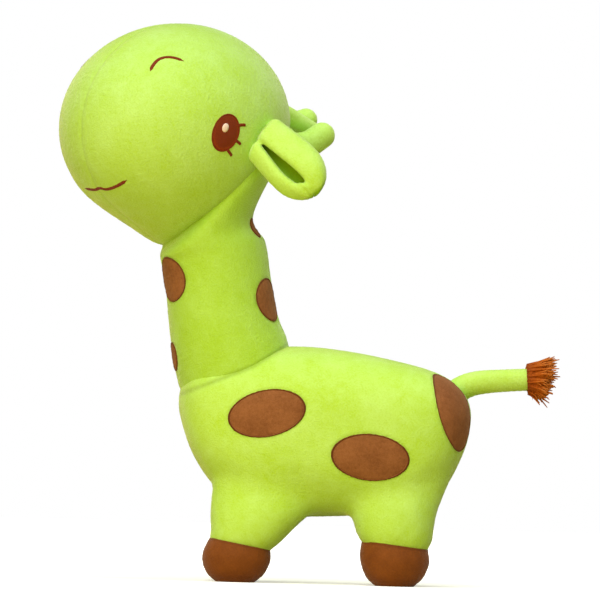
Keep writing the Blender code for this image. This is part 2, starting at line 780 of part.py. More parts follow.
def ear_sheet(root, shift, mirror=None):
    """A cupped sheet round the ear's run, open towards the face, moved out by a shift."""
    run = head_direction(EAR_RUN)
    across = head_direction(EAR_ACROSS)
    across = (across - run * run.dot(across)).normalized()
    inward = across.cross(run).normalized()
    turn = np.linspace(EAR_LOWER_EDGE, EAR_UPPER_EDGE, EAR_COLUMNS)
    along = np.linspace(-EAR_TUCK / EAR_LENGTH, 1, EAR_ROWS)
    size = np.interp(along, np.linspace(along[0], 1, len(EAR_SIZE_SHARES)), EAR_SIZE_SHARES)
    width = EAR_WIDTH / 2 - EAR_LAYER + shift
    depth = EAR_DEPTH / 2 - EAR_LAYER + shift
    cups = np.outer(np.sin(turn) * width, across) + np.outer(np.cos(turn) * depth, inward)
    sheet = np.array(root) + np.outer(along * EAR_LENGTH, run)[:, None] + cups[None] * size[:, None, None]
    sheet = sheet.reshape(-1, 3)
    corners = [(r * EAR_COLUMNS + i) for r in range(EAR_ROWS - 1) for i in range(EAR_COLUMNS - 1)]
    faces = [(k, k + 1, k + 1 + EAR_COLUMNS, k + EAR_COLUMNS) for k in corners]
    if mirror:
        return mirrored(sheet, *mirror), [tuple(reversed(f)) for f in faces]
    return sheet, faces


def finishes():
    """The giraffe's materials by short name."""
    return {
        "plush": material("green_plush", GREEN, 0.95),
        "pale": material("pale_green_plush", PALE_GREEN, 0.95),
        "brown": material("brown_plush", BROWN, 0.95),
        "fur": material("brown_fur", FUR_BROWN, 0.95),
        "thread": material("brown_thread", THREAD_BROWN, 0.6),
        "glint": material("pale_thread", GLINT_PINK, 0.5),
        "wadding": material("wadding", WHITE, 1.0),
    }


def limb_forms():
    """The four limbs by name."""
    limbs = {}
    for place, share, height, shares in (
        ("front", FRONT_LEG_SHARE, FRONT_FOOT_HEIGHT, FRONT_LEG_SHARES),
        ("rear", REAR_LEG_SHARE, REAR_FOOT_HEIGHT, REAR_LEG_SHARES),
    ):
        for side, word in SIDES:
            limbs[f"{place}_{word}"] = leg_form(side, share, height, shares)
    return limbs


def horn_forms():
    """The two horns by side: root, outward direction of the head there, and form."""
    horns = {}
    for word, place, run, length, rise in (
        ("left", NEAR_HORN_PLACE, NEAR_HORN_RUN, NEAR_HORN_LENGTH, NEAR_HORN_RISE),
        ("right", FAR_HORN_PLACE, FAR_HORN_RUN, FAR_HORN_LENGTH, 0),
    ):
        root, away = head_place(place)[:2]
        path = bent_path(root, head_direction(run), length, -rise)
        horns[word] = (root, away, stuffed_tube(path, HORN_THICKNESS, HORN_SWELL_SHARES))
    return horns


def forelock_form():
    """The forelock: root, outward direction of the head there, and form."""
    root, away = head_place(FORELOCK_PLACE)[:2]
    path = bent_path(root, head_direction(FORELOCK_RUN), FORELOCK_LENGTH)
    return root, away, stuffed_tube(path, FORELOCK_THICKNESS, FORELOCK_SWELL_SHARES)


def tail_forms():
    """The tail: root, form, and the tassel's form at its end."""
    root = Vector((BODY_LENGTH * (TAIL_PLACE_SHARE - 0.5), 0, BELLY_HEIGHT + BODY_HEIGHT * TAIL_RISE_SHARE))
    run = Vector((math.cos(TAIL_STEEPNESS), 0, math.sin(TAIL_STEEPNESS)))
    path = bent_path(root, run, TAIL_LENGTH, TAIL_LENGTH * math.sin(TAIL_STEEPNESS) / 2)
    last_run = (path[-1] - path[-2]).normalized()
    start = path[-1] + last_run * GAP
    tassel_path = [start + last_run * (TASSEL_LENGTH * share) for share in (0, *PATH_SHARES)]
    tail = stuffed_tube(path, TAIL_THICKNESS, TAIL_SWELL_SHARES, dome=False)
    return root, tail, stuffed_tube(tassel_path, TASSEL_WIDTH, TASSEL_SWELL_SHARES, dome=False, lobes=True)


def centre(stand, forms, ears):
    """Sets the stand so that the giraffe is over the middle of its footprint."""
    bpy.context.view_layer.update()
    graph = bpy.context.evaluated_depsgraph_get()
    solid_ears = [ear.evaluated_get(graph) for ear in ears]
    corners = [ear.matrix_world @ Vector(corner) for ear in solid_ears for corner in ear.bound_box]
    everything = np.vstack([form.points for form in forms] + [np.array(corners)])
    middle = (everything.min(0) + everything.max(0)) / 2
    stand.location = (-middle[0], -middle[1], 0)


def make_body(body, finish):
    """Left and right flank covers over the body's filling."""
    for side, word in SIDES:
        half_cover(f"flank_cover_{word}", body, side, (0, 1, 0), finish["plush"])
    filling("body_filling", body, finish["wadding"])


def make_legs(limbs, body_skin, finish):
    """Each leg: foot cover, leg cover and filling."""
    wide = oval(OVERREACH * BODY_LENGTH, OVERREACH * BODY_LENGTH)
    floor = prism("floor", wide, (0, 0, 0), (1, 0, 0), (0, -1, 0), OVERRUN)
    foot_rings = (0, FOOT_RINGS - 1)
    leg_rings = (FOOT_RINGS, FOOT_RINGS + LEG_RINGS - 1)
    for word, limb in limbs.items():
        foot = whole_cover(f"foot_cover_{word}", limb, finish["brown"], first=True, rings=foot_rings)
        boolean(foot, floor)
        boolean(whole_cover(f"leg_cover_{word}", limb, finish["plush"], rings=leg_rings), body_skin)
        boolean(filling(f"leg_filling_{word}", limb, finish["wadding"]), body_skin)


def make_neck(neck, body_skin, finish):
    """Left and right neck covers over the neck's filling, between the body and the head seam."""
    back, near, normal = seam_axes()
    wide = oval(OVERREACH * HEAD_LENGTH, OVERREACH * HEAD_LENGTH)
    above = prism("above_head_seam", wide, neck_places()[1] - normal * (GAP / 2), near, back, OVERRUN)
    for side, word in SIDES:
        name = f"neck_cover_{word}"
        cover = half_cover(name, neck, side, (0, 1, 0), finish["plush"], first=False, last=False)
        trim(cover, (body_skin, above))
    trim(filling("neck_filling", neck, finish["wadding"]), (body_skin, above))


def make_head(head, pivot, finish):
    """Left and right head covers over the head's filling, cut flat at the head seam."""
    back, near, normal = seam_axes()
    left = head_axes()[1]
    wide = oval(OVERREACH * HEAD_LENGTH, OVERREACH * HEAD_LENGTH)
    below = prism("below_head_seam", wide, neck_places()[1] + normal * (GAP / 2), back, near, OVERRUN)
    for side, word in SIDES:
        hang(boolean(half_cover(f"head_cover_{word}", head, side, -left, finish["plush"]), below), pivot)
    hang(boolean(filling("head_filling", head, finish["wadding"]), below), pivot)


def make_face(head, mirror, pivot, finish):
    """Eyes with their glints, nostrils and mouth: flat thread pieces on the head."""
    nostril_line = np.array(NOSTRIL_SHARES) * NOSTRIL_WIDTH
    mouth_line = np.array(MOUTH_SHARES) * MOUTH_WIDTH
    nostril_outline = ribbon(nostril_line, THREAD_WIDTH)
    above_eye = GAP + THREAD + GAP
    pieces = [("mouth", MOUTH_PLACE, ribbon(mouth_line, THREAD_WIDTH), "thread", GAP, None)]
    for word, flip in (("left", None), ("right", mirror)):
        pieces.append((f"eye_{word}", EYE_PLACE, eye_outline(), "thread", GAP, flip))
        pieces.append((f"eye_glint_{word}", EYE_PLACE, glint_outline(), "glint", above_eye, flip))
        pieces.append((f"nostril_{word}", NOSTRIL_PLACE, nostril_outline, "thread", GAP, flip))
    depth = HEAD_HEIGHT / 2
    for name, place, outline, short, low, flip in pieces:
        point, away, right, rise = head_place(place)
        cutter = prism(f"{name}_edge", outline, point - away * (depth / 2), right, rise, depth, flip)
        hang(applique(name, head, cutter, THREAD, finish[short], low), pivot)


def make_ears(head, mirror, head_pivot, finish):
    """Each ear: an outer layer and a lining on a pivot at its sewn root."""
    root = head_place(EAR_PLACE)[0]
    place, away = head_place(EAR_SEAT_PLACE)[:2]
    hinge = square(head_direction(EAR_HINGE), away)
    place = seat(head, place, away, hinge, ear_sheet(root, EAR_LAYER)[0])
    layers = (("outer", GAP / 2, 1, "plush"), ("lining", -GAP / 2, -1, "pale"))
    ears = []
    for word, flip in (("left", None), ("right", mirror)):
        wedge = root_wedge(f"ear_{word}_root", place, away, hinge, EAR_SWING)
        if flip:
            place = Vector(mirrored([place], *mirror)[0])
            flip_mesh(wedge, mirror)
        pivot = empty(f"ear_{word}_pivot", place, head_pivot)
        for part, shift, offset, short in layers:
            sheet, faces = ear_sheet(root, shift, flip)
            layer = mesh_object(f"ear_{part}_{word}", sheet, faces, finish[short])
            ears.append(hang(boolean(solidify(layer, EAR_LAYER, offset), wedge), pivot))
    return ears


def make_horns(head, horns, head_pivot, finish):
    """Each horn: a cover over its filling on a pivot at its sewn root."""
    left = head_axes()[1]
    for word, (root, away, form) in horns.items():
        hinge = square(left, away)
        place = seat(head, root, away, hinge, form.points)
        pivot = empty(f"horn_{word}_pivot", place, head_pivot)
        wedge = root_wedge(f"horn_{word}_root", place, away, hinge, HORN_BEND)
        hang(boolean(whole_cover(f"horn_cover_{word}", form, finish["plush"], last=True), wedge), pivot)
        hang(boolean(filling(f"horn_filling_{word}", form, finish["wadding"]), wedge), pivot)


def make_forelock(head, forelock, head_pivot, finish):
    """The forelock on a pivot at its sewn root."""
    root, away, form = forelock
    hinge = square(head_axes()[1], away)
    place = seat(head, root, away, hinge, form.points)
    pivot = empty("forelock_pivot", place, head_pivot)
    wedge = root_wedge("forelock_root", place, away, hinge, FORELOCK_BEND)
    hang(boolean(mesh_object("forelock", form.points, form.faces(), finish["plush"]), wedge), pivot)


def make_tail(body, forms, stand, finish):
    """The tail's cover, filling and tassel on a pivot at its sewn root."""
    root, tail, tassel = forms
    away = Vector((math.cos(RUMP_STEEPNESS), 0, math.sin(RUMP_STEEPNESS)))
    hinge = Vector((0, -1, 0))
    place = seat(body, root, away, hinge, tail.points)
    pivot = empty("tail_pivot", place, stand)
    wedge = root_wedge("tail_root", place, away, hinge, TAIL_BEND)
    hang(boolean(whole_cover("tail_cover", tail, finish["plush"]), wedge), pivot)
    hang(boolean(filling("tail_filling", tail, finish["wadding"]), wedge), pivot)
    hang(mesh_object("tail_tassel", tassel.points, tassel.faces(), finish["fur"]), pivot)


def make_body_spots(body, finish):
    """Two spots on each flank and one on each side of the rump."""
    spots = []
    for name, along, rise, tilt in BODY_SPOT_SHARES:
        place = (BODY_LENGTH * (along - 0.5), 0, BELLY_HEIGHT + BODY_HEIGHT * rise)
        spots.append((name, oval(SPOT_LENGTH, SPOT_HEIGHT, tilt), place, (1, 0, 0)))
    along, across, rise = RUMP_SPOT_SHARES
    right = Vector((math.cos(RUMP_SPOT_TURN), math.sin(RUMP_SPOT_TURN), 0))
    place = Vector((BODY_LENGTH * (along - 0.5), BODY_WIDTH * across, BELLY_HEIGHT + BODY_HEIGHT * rise))
    place -= right.cross(Vector((0, 0, 1))) * (BODY_WIDTH * RUMP_SPOT_DEPTH_SHARE)
    spots.append(("rump", oval(RUMP_SPOT_WIDTH, RUMP_SPOT_HEIGHT, RUMP_SPOT_TILT), place, right))
    for name, outline, place, right in spots:
        for word, flip in (("left", None), ("right", ((0, 0, 0), (0, 1, 0)))):
            cutter = prism(f"{name}_{word}_edge", outline, place, right, (0, 0, 1), BODY_WIDTH, flip)
            applique(f"{name}_spot_{word}", body, cutter, PATCH, finish["brown"])


def make_neck_spots(neck, finish):
    """Two spots on the neck's front and two on its back."""
    foot = neck_places()[0]
    for name, rise, turn, size, tilt in NECK_SPOT_SHARES:
        place = foot + Vector((0, 0, NECK_LENGTH * rise))
        out = Vector((-math.cos(turn), -math.sin(turn), 0))
        right = Vector((0, 0, 1)).cross(out)
        outline = oval(NECK_SPOT_WIDTH * size, NECK_SPOT_HEIGHT * size, tilt)
        cutter = prism(f"{name}_edge", outline, place, right, (0, 0, 1), NECK_DEPTH)
        applique(f"{name}_spot", neck, cutter, PATCH, finish["brown"])


def build():
    """Makes every piece of the giraffe."""
    for thing in list(bpy.data.objects):
        bpy.data.objects.remove(thing)
    finish = finishes()
    body = body_form()
    neck = neck_form()
    head = head_form()
    horns = horn_forms()
    forelock = forelock_form()
    tail = tail_forms()
    stand = empty("stand", (0, 0, 0))
    head_pivot = empty("head_pivot", neck_places()[1], stand)
    mirror = (head_middle(), head_axes()[1])
    ears = make_ears(head, mirror, head_pivot, finish)
    centre(stand, (body, head, tail[2], forelock[2], horns["left"][2], horns["right"][2]), ears)
    body_skin = grown_cutter("body_skin", body)
    make_body(body, finish)
    make_legs(limb_forms(), body_skin, finish)
    make_neck(neck, body_skin, finish)
    make_head(head, head_pivot, finish)
    make_face(head, mirror, head_pivot, finish)
    make_horns(head, horns, head_pivot, finish)
    make_forelock(head, forelock, head_pivot, finish)
    make_tail(body, tail, stand, finish)
    make_body_spots(body, finish)
    make_neck_spots(neck, finish)


build()
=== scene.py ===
import math

import bpy
import numpy as np
from mathutils import Matrix, Vector


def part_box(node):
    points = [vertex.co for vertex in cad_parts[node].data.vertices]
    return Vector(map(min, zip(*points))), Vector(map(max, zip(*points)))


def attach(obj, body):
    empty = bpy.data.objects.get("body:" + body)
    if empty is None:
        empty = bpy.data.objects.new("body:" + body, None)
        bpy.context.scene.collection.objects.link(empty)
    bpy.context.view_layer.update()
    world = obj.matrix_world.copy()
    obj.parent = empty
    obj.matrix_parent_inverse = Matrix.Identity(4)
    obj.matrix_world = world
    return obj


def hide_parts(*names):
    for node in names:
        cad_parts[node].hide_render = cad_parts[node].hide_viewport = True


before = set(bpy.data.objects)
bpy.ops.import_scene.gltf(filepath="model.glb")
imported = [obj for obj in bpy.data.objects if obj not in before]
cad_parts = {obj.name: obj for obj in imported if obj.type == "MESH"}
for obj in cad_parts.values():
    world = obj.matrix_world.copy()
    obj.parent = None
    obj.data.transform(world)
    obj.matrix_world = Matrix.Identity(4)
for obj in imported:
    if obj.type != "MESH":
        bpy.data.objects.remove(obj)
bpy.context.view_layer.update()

MM = 0.001
SIDES = ((-1, "left"), (1, "right"))

# Camera: the toy seen square from its left side, from far off, with the picture's small roll
ROLL = math.radians(1.6)
PIXEL, PICTURE = 0.71 * MM, 600
DISTANCE, SENSOR = 12.0, 36.0
AIM = Vector((-4.0 * MM, -40 * MM, 201.3 * MM))

camera = bpy.data.objects.new("camera", bpy.data.cameras.new("camera"))
bpy.context.scene.collection.objects.link(camera)
camera.data.sensor_width = SENSOR
camera.data.lens = SENSOR * DISTANCE / (PICTURE * PIXEL)
camera.data.clip_end = 5 * DISTANCE
right = Vector((math.cos(ROLL), 0, math.sin(ROLL)))
up = Vector((-math.sin(ROLL), 0, math.cos(ROLL)))
turn = Matrix((right, up, right.cross(up))).transposed().to_4x4()
camera.matrix_world = Matrix.Translation(AIM - Vector((0, DISTANCE, 0))) @ turn
bpy.context.scene.camera = camera


# Shader maths
class Wire:
    """A node's output that takes part in Python sums: each operator adds one Math node to its tree."""

    def __init__(self, nodes, socket):
        self.nodes = nodes
        self.socket = socket

    def math(self, operation, *others):
        values = {f"i{place}": value for place, value in enumerate((self, *others))}
        return self.nodes.add("Math", {"operation": operation}, **values)

    def __add__(self, other):
        return self.math("ADD", other)

    def __sub__(self, other):
        return self.math("SUBTRACT", other)

    def __rsub__(self, other):
        return self * -1.0 + other

    def __mul__(self, other):
        return self.math("MULTIPLY", other)

    __radd__ = __add__
    __rmul__ = __mul__


class Nodes:
    """The node tree of a material or world: every node comes from add, with its settings set before its sockets."""

    def __init__(self, owner):
        owner.use_nodes = True
        self.owner = owner
        self.tree = owner.node_tree

    def add(self, kind, settings=None, output=0, **inputs):
        made = self.tree.nodes.new("ShaderNode" + kind)
        for key, value in (settings or {}).items():
            if key == "stops":
                stops = made.color_ramp.elements
                while len(stops) < len(value):
                    stops.new(1.0)
                for stop, (place, colour) in zip(stops, value):
                    stop.position = place
                    stop.color = (*colour, 1.0)
            else:
                setattr(made, key, value)
        self.feed(made.inputs, **inputs)
        return Wire(self, made.outputs[output])

    def feed(self, sockets, **inputs):
        """Sets or links sockets, by name with _ for a blank, or by number as i0, i1 and so on."""
        for key, value in inputs.items():
            socket = sockets[int(key[1:]) if key[1:].isdigit() else key.replace("_", " ")]
            if isinstance(value, Wire):
                self.tree.links.new(value.socket, socket)
            else:
                socket.default_value = value

    def place(self):
        return self.add("TexCoord", None, "Object")

    def seen(self):
        """1 for what the camera sees straight, in gloss or through glass, and 0 for light between the pieces."""
        camera_ray, glossy, through = (
            self.add("LightPath", None, f"Is {way} Ray") for way in ("Camera", "Glossy", "Transmission")
        )
        return (camera_ray + glossy + through).math("MINIMUM", 1.0)


class Finish(Nodes):
    """A material under construction, which done ends."""

    def __init__(self, name):
        super().__init__(bpy.data.materials.new(name))
        self.shader = self.tree.nodes["Principled BSDF"].inputs

    def ramp(self, value, *stops):
        return self.add("ValToRGB", {"stops": stops}, i0=value)

    def mix(self, share, first, second):
        first, second = (value if isinstance(value, Wire) else (*value, 1.0) for value in (first, second))
        return self.add("Mix", {"data_type": "RGBA"}, 2, i0=share, i6=first, i7=second)

    def noise(self, scale, detail=2.0, rough=0.5, distortion=0.0):
        return self.add(
            "TexNoise", Vector=self.place(), Scale=scale, Detail=detail, Roughness=rough, Distortion=distortion
        )

    def attribute(self, name):
        return self.add("Attribute", {"attribute_name": name}, "Fac")

    def span(self, value, low, high, first=0.0, last=1.0):
        """First below low and last above high, with a smooth step between them."""
        smooth = {"interpolation_type": "SMOOTHSTEP"}
        return self.add("MapRange", smooth, i0=value, i1=low, i2=high, i3=first, i4=last)

    def strands(self, run):
        """Waves from 0 to 1, one for each whole step of the run."""
        return (run * (2 * math.pi)).math("SINE") * 0.5 + 0.5

    def done(self, colour, rough, height, distance, strength, sheen, sheen_rough, tint, gloss):
        bump = self.add("Bump", Strength=strength, Distance=distance, Height=height)
        self.feed(
            self.shader, Base_Color=colour, Roughness=rough, Normal=bump, Sheen_Weight=sheen,
            Sheen_Roughness=sheen_rough, Sheen_Tint=(*tint, 1.0), Specular_IOR_Level=gloss,
        )
        return self.owner


# Finishes
GREEN_DEEP, GREEN_LIT, GREEN_SHEEN = (0.430, 0.705, 0.040), (0.545, 0.850, 0.230), (0.96, 1.0, 0.75)
BROWN_SHEEN = (0.9, 0.6, 0.45)
# Painted shade: shares that darken the green on the head, and on the neck for the head's shadow over it
HEAD_SHADE, NECK_SHADE = (0.88, 0.88, 1.0), (0.82, 0.86, 0.62)


def plush(name, deep, lit, tint=GREEN_SHEEN, inner=None, gloss=0.12, sheen=0.60):
    """Short pile: faint pressed patches a few centimetres wide, brushed streaks, tufts under a millimetre, a soft gloss
    and a sheen. The attribute seam is a valley where the pile parts, darkened as painted shade; inner mixes in a second
    colour."""
    made = Finish(name)
    patches = made.noise(38.0, 3.0, 0.55)
    brushed = made.noise(150.0, distortion=0.4)
    tufts = made.noise(1700.0, rough=0.7)
    grain = made.noise(800.0, rough=0.6)
    seam = made.attribute("seam")
    tone = patches * 0.42 + brushed * 0.25 + tufts * 0.30 + grain * 0.40
    colour = made.ramp(tone, (0.47, deep), (0.90, lit))
    # Painted shade along the seams: where the attribute seam is 1, half way to 0.45 times the deep colour.
    colour = made.mix(seam * 0.5, colour, tuple(channel * 0.45 for channel in deep))
    if inner:
        colour = made.mix(made.attribute("inner"), colour, inner)
    height = tufts * 0.55 + grain * 0.9 + brushed * 0.5 - seam * 0.9
    return made.done(colour, made.span(tufts, 0.3, 0.7, 0.55, 0.72), height, 0.9 * MM, 0.6, sheen, 0.35, tint, gloss)


def shaded_copy(name, pile):
    """The green plush darkened, each channel times its share: painted shade."""
    deep, lit = (tuple(float(c * share) for c, share in zip(colour, pile)) for colour in (GREEN_DEEP, GREEN_LIT))
    return plush(name, deep, lit)


def spot_cloth(name):
    """Brown short pile with a ring of dark satin stitches at its edge: the attribute edge is 1 at the rim, and
    stitch counts the stitches round it."""
    made = Finish(name)
    patches = made.noise(60.0, 3.0, 0.6)
    tufts = made.noise(1300.0, rough=0.7)
    grain = made.noise(420.0, rough=0.6)
    pile = patches * 0.7 + tufts * 0.5 + grain * 0.4
    colour = made.ramp(pile, (0.55, (0.180, 0.062, 0.022)), (1.0, (0.310, 0.122, 0.052)))
    stitch = made.strands(made.attribute("stitch"))
    rim = made.span(made.attribute("edge"), 0.35, 0.75)
    colour = made.mix(rim, colour, made.mix(stitch, (0.085, 0.022, 0.007), (0.21, 0.065, 0.020)))
    height = tufts * 0.5 + grain * 0.5 + stitch * rim * 0.9
    return made.done(colour, 0.9, height, 0.7 * MM, 0.6, 0.15, 0.4, BROWN_SHEEN, 0.12)


def satin(name, deep, lit):
    """Satin stitch: threads half a millimetre wide, side by side along the attribute thread, with a light gloss; the
    attribute ring lightens them."""
    made = Finish(name)
    strand = made.strands(made.attribute("thread") * (1 / (0.5 * MM)))
    wander = made.noise(900.0, rough=0.6)
    colour = made.mix(strand * 0.5 + wander * 0.4, deep, lit)
    colour = made.mix(made.attribute("ring"), colour, tuple(min(1.0, channel * 1.9) for channel in lit))
    return made.done(colour, 0.5, strand + wander * 0.3, 0.25 * MM, 0.7, 0.0, 0.4, (1, 1, 1), 0.12)


def yarn(name):
    """Tassel yarn: the colour runs from root to tip by the attribute along, and from strand to strand."""
    made = Finish(name)
    strand = made.noise(900.0, 1.0)
    tone = made.attribute("along") * 0.7 + strand * 0.5
    colour = made.ramp(
        tone, (0.25, (0.23, 0.042, 0.003)), (0.65, (0.40, 0.088, 0.005)), (1.0, (0.54, 0.18, 0.04))
    )
    return made.done(colour, 0.8, strand, 0.3 * MM, 0.4, 0.1, 0.4, (1.0, 0.7, 0.5), 0.15)


green = plush("green_plush", GREEN_DEEP, GREEN_LIT)
head_shaded_green = shaded_copy("head_green_plush", HEAD_SHADE)
neck_shaded_green = shaded_copy("neck_green_plush", NECK_SHADE)
# The ears: pale green, with a darker green inside the fold, painted shade in its hollow.
lining = plush("pale_green_plush", (0.41, 0.66, 0.05), (0.52, 0.80, 0.22), inner=(0.23, 0.44, 0.004))
# Horns and forelock: a paler green, lightened more for the head's shadow on the horns, so partly painted light.
lit_pale_green = plush("horn_green_plush", (0.47, 0.76, 0.08), (0.62, 0.92, 0.27))
hoof = plush("hoof_plush", (0.150, 0.040, 0.006), (0.255, 0.075, 0.014), BROWN_SHEEN, gloss=0.15, sheen=0.15)
patch = spot_cloth("spot_plush")
thread = satin("brown_thread", (0.150, 0.018, 0.002), (0.230, 0.034, 0.004))
glint_thread = satin("pale_thread", (0.66, 0.48, 0.46), (0.86, 0.72, 0.70))
tuft = yarn("tassel_fur")

# Sizes, shared with the solids
BODY_LENGTH, BODY_HEIGHT, BODY_WIDTH, BELLY = 0.212, 0.1205, 0.104, 0.048
LEG_SPREAD, FOOT_LENGTH, FOOT_WIDTH = 0.029, 0.0495, 0.0440
FOOT_HEIGHTS = {"front": 0.0265, "rear": 0.0285}
NECK_DEPTH, NECK_WIDTH, NECK_LENGTH = 0.080, 0.080, 0.1245
NECK_FOOT, NECK_SEAM, NECK_TOP = 0.140, 0.86, 0.97
HEAD_LENGTH, HEAD_WIDTH, HEAD_HEIGHT = 0.184, 0.1528, 0.1460
HEAD_RISE, HEAD_REACH = 0.0471, 0.0355
HEAD_TURN, HEAD_NOD = math.radians(42), math.radians(4.5)
THROAT_SHARE, THROAT_SPREAD = 0.25, math.radians(20)
SEAM_SLOPE, SEAM_ROLL = math.radians(41.1), math.radians(5)

# Stations of the body: share of the length from the chest, back and belly by the height, half width by the width
BODY = (
    (0.000, 0.664, 0.664, 0.00),
    (0.012, 0.758, 0.560, 0.38),
    (0.055, 0.858, 0.350, 0.70),
    (0.135, 0.932, 0.160, 0.90),
    (0.270, 0.985, 0.030, 1.00),
    (0.430, 1.003, 0.000, 1.02),
    (0.600, 0.975, 0.000, 1.02),
    (0.740, 0.930, 0.030, 1.00),
    (0.850, 0.885, 0.110, 0.94),
    (0.930, 0.822, 0.250, 0.78),
    (0.983, 0.728, 0.440, 0.46),
    (1.000, 0.622, 0.622, 0.00),
)
# A leg's place by the body's length, then its stations: rise, shift, half length, half width, spread
LEGS = {
    "front": (0.214, (
        (0.000, 0.040, 0.94, 0.94, 1.00),
        (0.067, 0.290, 0.99, 1.00, 1.00),
        (0.160, 0.400, 1.18, 1.04, 0.97),
        (0.237, 0.510, 1.33, 1.07, 0.95),
        (0.360, 0.660, 1.50, 1.08, 0.92),
        (0.546, 0.740, 1.56, 0.98, 0.87),
        (1.000, 0.830, 1.41, 0.80, 0.80),
    )),
    "rear": (0.747, (
        (0.000, -0.010, 1.04, 0.97, 1.00),
        (0.085, -0.010, 1.14, 1.02, 1.00),
        (0.260, -0.015, 1.19, 1.05, 0.97),
        (0.436, 0.010, 1.27, 1.06, 0.92),
        (0.627, 0.070, 1.38, 0.92, 0.85),
        (0.818, 0.250, 1.40, 0.82, 0.82),
        (1.000, 0.310, 1.29, 0.78, 0.80),
    )),
}
LEG_TOP = 0.36
# How far below a leg's seam its folded lips lie, and their size
LEG_LIPS = ((6 * MM, 0.86), (2.5 * MM, 0.90))
# Rise and size of a foot's wall, and of its rim, folded in at the seam
FOOT = ((-0.020, 0.52), (0.060, 0.63), (0.200, 0.80), (0.420, 0.93), (0.680, 1.00), (1.000, 0.97))
FOOT_RIM = ((1.02, 0.978), (1.032, 0.966), (1.036, 0.945), (1.02, 0.925), (0.96, 0.80), (0.92, 0.3))
# How much higher the front of a foot's seam is than its middle, and where along the foot it turns level
FOOT_SLANT = {"front": (4.5 * MM, 0.1), "rear": (3.0 * MM, 0.0)}
# How far a foot's seam is drawn back, and the share that its length loses there
FOOT_LEAN = {"front": (2.9 * MM, 0.10), "rear": (0.0, 0.02)}
# Stations of the neck: rise, shift back, tilt, half depth, half width
NECK = (
    (-0.280, 0.255, 0.42, 0.98, 1.00),
    (-0.140, 0.145, 0.45, 1.04, 1.03),
    (-0.050, 0.100, 0.34, 1.03, 1.02),
    (0.050, 0.055, 0.26, 0.99, 1.00),
    (0.185, 0.010, 0.19, 0.955, 0.97),
    (0.340, -0.025, 0.17, 0.94, 0.96),
    (0.510, -0.074, 0.26, 0.945, 0.98),
    (0.622, -0.140, 0.45, 0.912, 1.03),
)
# The seam between neck and body in side view, in millimetres
SHOULDER = ((-95, 128), (-85, 133), (-60.5, 143.1), (-35.3, 153.5), (-18.2, 165), (-8, 172))
# The head's slimming behind and before its middle, between two heights, and its jaw's hump: depth, level, spread, way
HEAD_SLIM, SLIM_FROM, SLIM_OVER = (0.045, 0.031), 262 * MM, 28 * MM
JAW_DEPTH, JAW_LEVEL, JAW_SPREAD, JAW_WAY = 2.6 * MM, 256 * MM, 19 * MM, 30 * MM
EAR_THICK, EAR_LONG, EAR_HALF_WIDTH, EAR_HALF_DEPTH = 7.6 * MM, 57.5 * MM, 20.1 * MM, 11.5 * MM
# Middle lines in millimetres, with the radii along them
HORNS = {
    "left": (
        ((-50, 32, 316), (-30, 39.5, 311.5), (-13, 44.5, 311.2), (-1, 47.5, 313.2), (8.4, 50.6, 319.4)),
        (8.0, 8.6, 9.2, 9.5, 9.3),
    ),
    "right": (
        ((-62, 44, 308), (-46, 55.8, 312.5), (-30, 68, 320), (-14, 79, 326.5), (-3.4, 86.0, 330.6)),
        (7.6, 7.8, 8.0, 8.2, 8.2),
    ),
}
FORELOCK = (
    ((-50, 30, 347), (-33, 42.8, 341.6), (-18, 54, 333.8), (-5, 65, 326.4), (4.5, 73.5, 322.0)),
    (5.6, 6.0, 6.4, 6.3, 5.4),
)
TAIL_Y = -16.84
TAIL = (
    tuple((x, TAIL_Y, z) for x, z in (
        (100, 134), (108, 138.5), (116, 143.4), (126, 146.2), (142, 147.9), (161.6, 149.3),
    )),
    (9.0, 9.0, 8.7, 8.4, 8.0, 7.8),
)
TASSEL_FROM = (159.7, TAIL_Y, 149.3)
TASSEL_CORE = ((-0.8, 6.0), (0.0, 10.2), (3.0, 10.8), (8.0, 10.2), (11.0, 7.0), (12.5, 3.0))

flanks = np.array([corner for side in ("left", "right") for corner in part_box("flank_cover_" + side)])
SHIFT = (flanks.min(0) + flanks.max(0)) / 2 * (1, 1, 0)


# Shapes
def unit(vector):
    """Directions of length 1."""
    vector = np.asarray(vector, dtype=float)
    return vector / np.linalg.norm(vector, axis=-1, keepdims=True)


def rows_of(x, y, z):
    """Points or directions from arrays; a bare number holds for every row."""
    return np.stack(np.broadcast_arrays(x, y, z), -1).astype(float)


def curve(rows, count):
    """A Catmull-Rom curve through the rows, read at equal steps."""
    rows = np.asarray(rows, dtype=float)
    ends = np.vstack([2 * rows[0] - rows[1], rows, 2 * rows[-1] - rows[-2]])
    place = np.linspace(0, len(rows) - 1, count)
    index = np.minimum(place.astype(int), len(rows) - 2)
    t = (place - index)[:, None]
    a, b, c, d = (ends[index + step] for step in range(4))
    return 0.5 * (2 * b + (c - a) * t + (2 * a - 5 * b + 4 * c - d) * t ** 2 + (3 * (b - c) + d - a) * t ** 3)


def rings(centres, first, second, sides, power=2.0):
    """Closed rings: centre + first axis * cosine + second axis * sine, squared off by the power."""
    angle = np.linspace(0, 2 * math.pi, sides, endpoint=False)
    share = (np.abs(np.cos(angle)) ** power + np.abs(np.sin(angle)) ** power) ** (-1 / power)
    along = (share * np.cos(angle))[None, :, None]
    across = (share * np.sin(angle))[None, :, None]
    return centres[:, None] + first[:, None] * along + second[:, None] * across


def ring_faces(count, sides):
    """Quads between neighbouring rings, and triangles to the two poles that follow the rings' points."""
    row, side = np.meshgrid(np.arange(count - 1), np.arange(sides), indexing="ij")
    low, beside = row * sides, (side + 1) % sides
    quads = np.stack([low + side, low + beside, low + sides + beside, low + sides + side], -1)
    side, pole = np.arange(sides), count * sides
    beside = (side + 1) % sides
    start = np.stack([beside, side, np.full(sides, pole)], 1)
    end = np.stack([pole - sides + side, pole - sides + beside, np.full(sides, pole + 1)], 1)
    return quads.reshape(-1, 4).tolist() + start.tolist() + end.tolist()


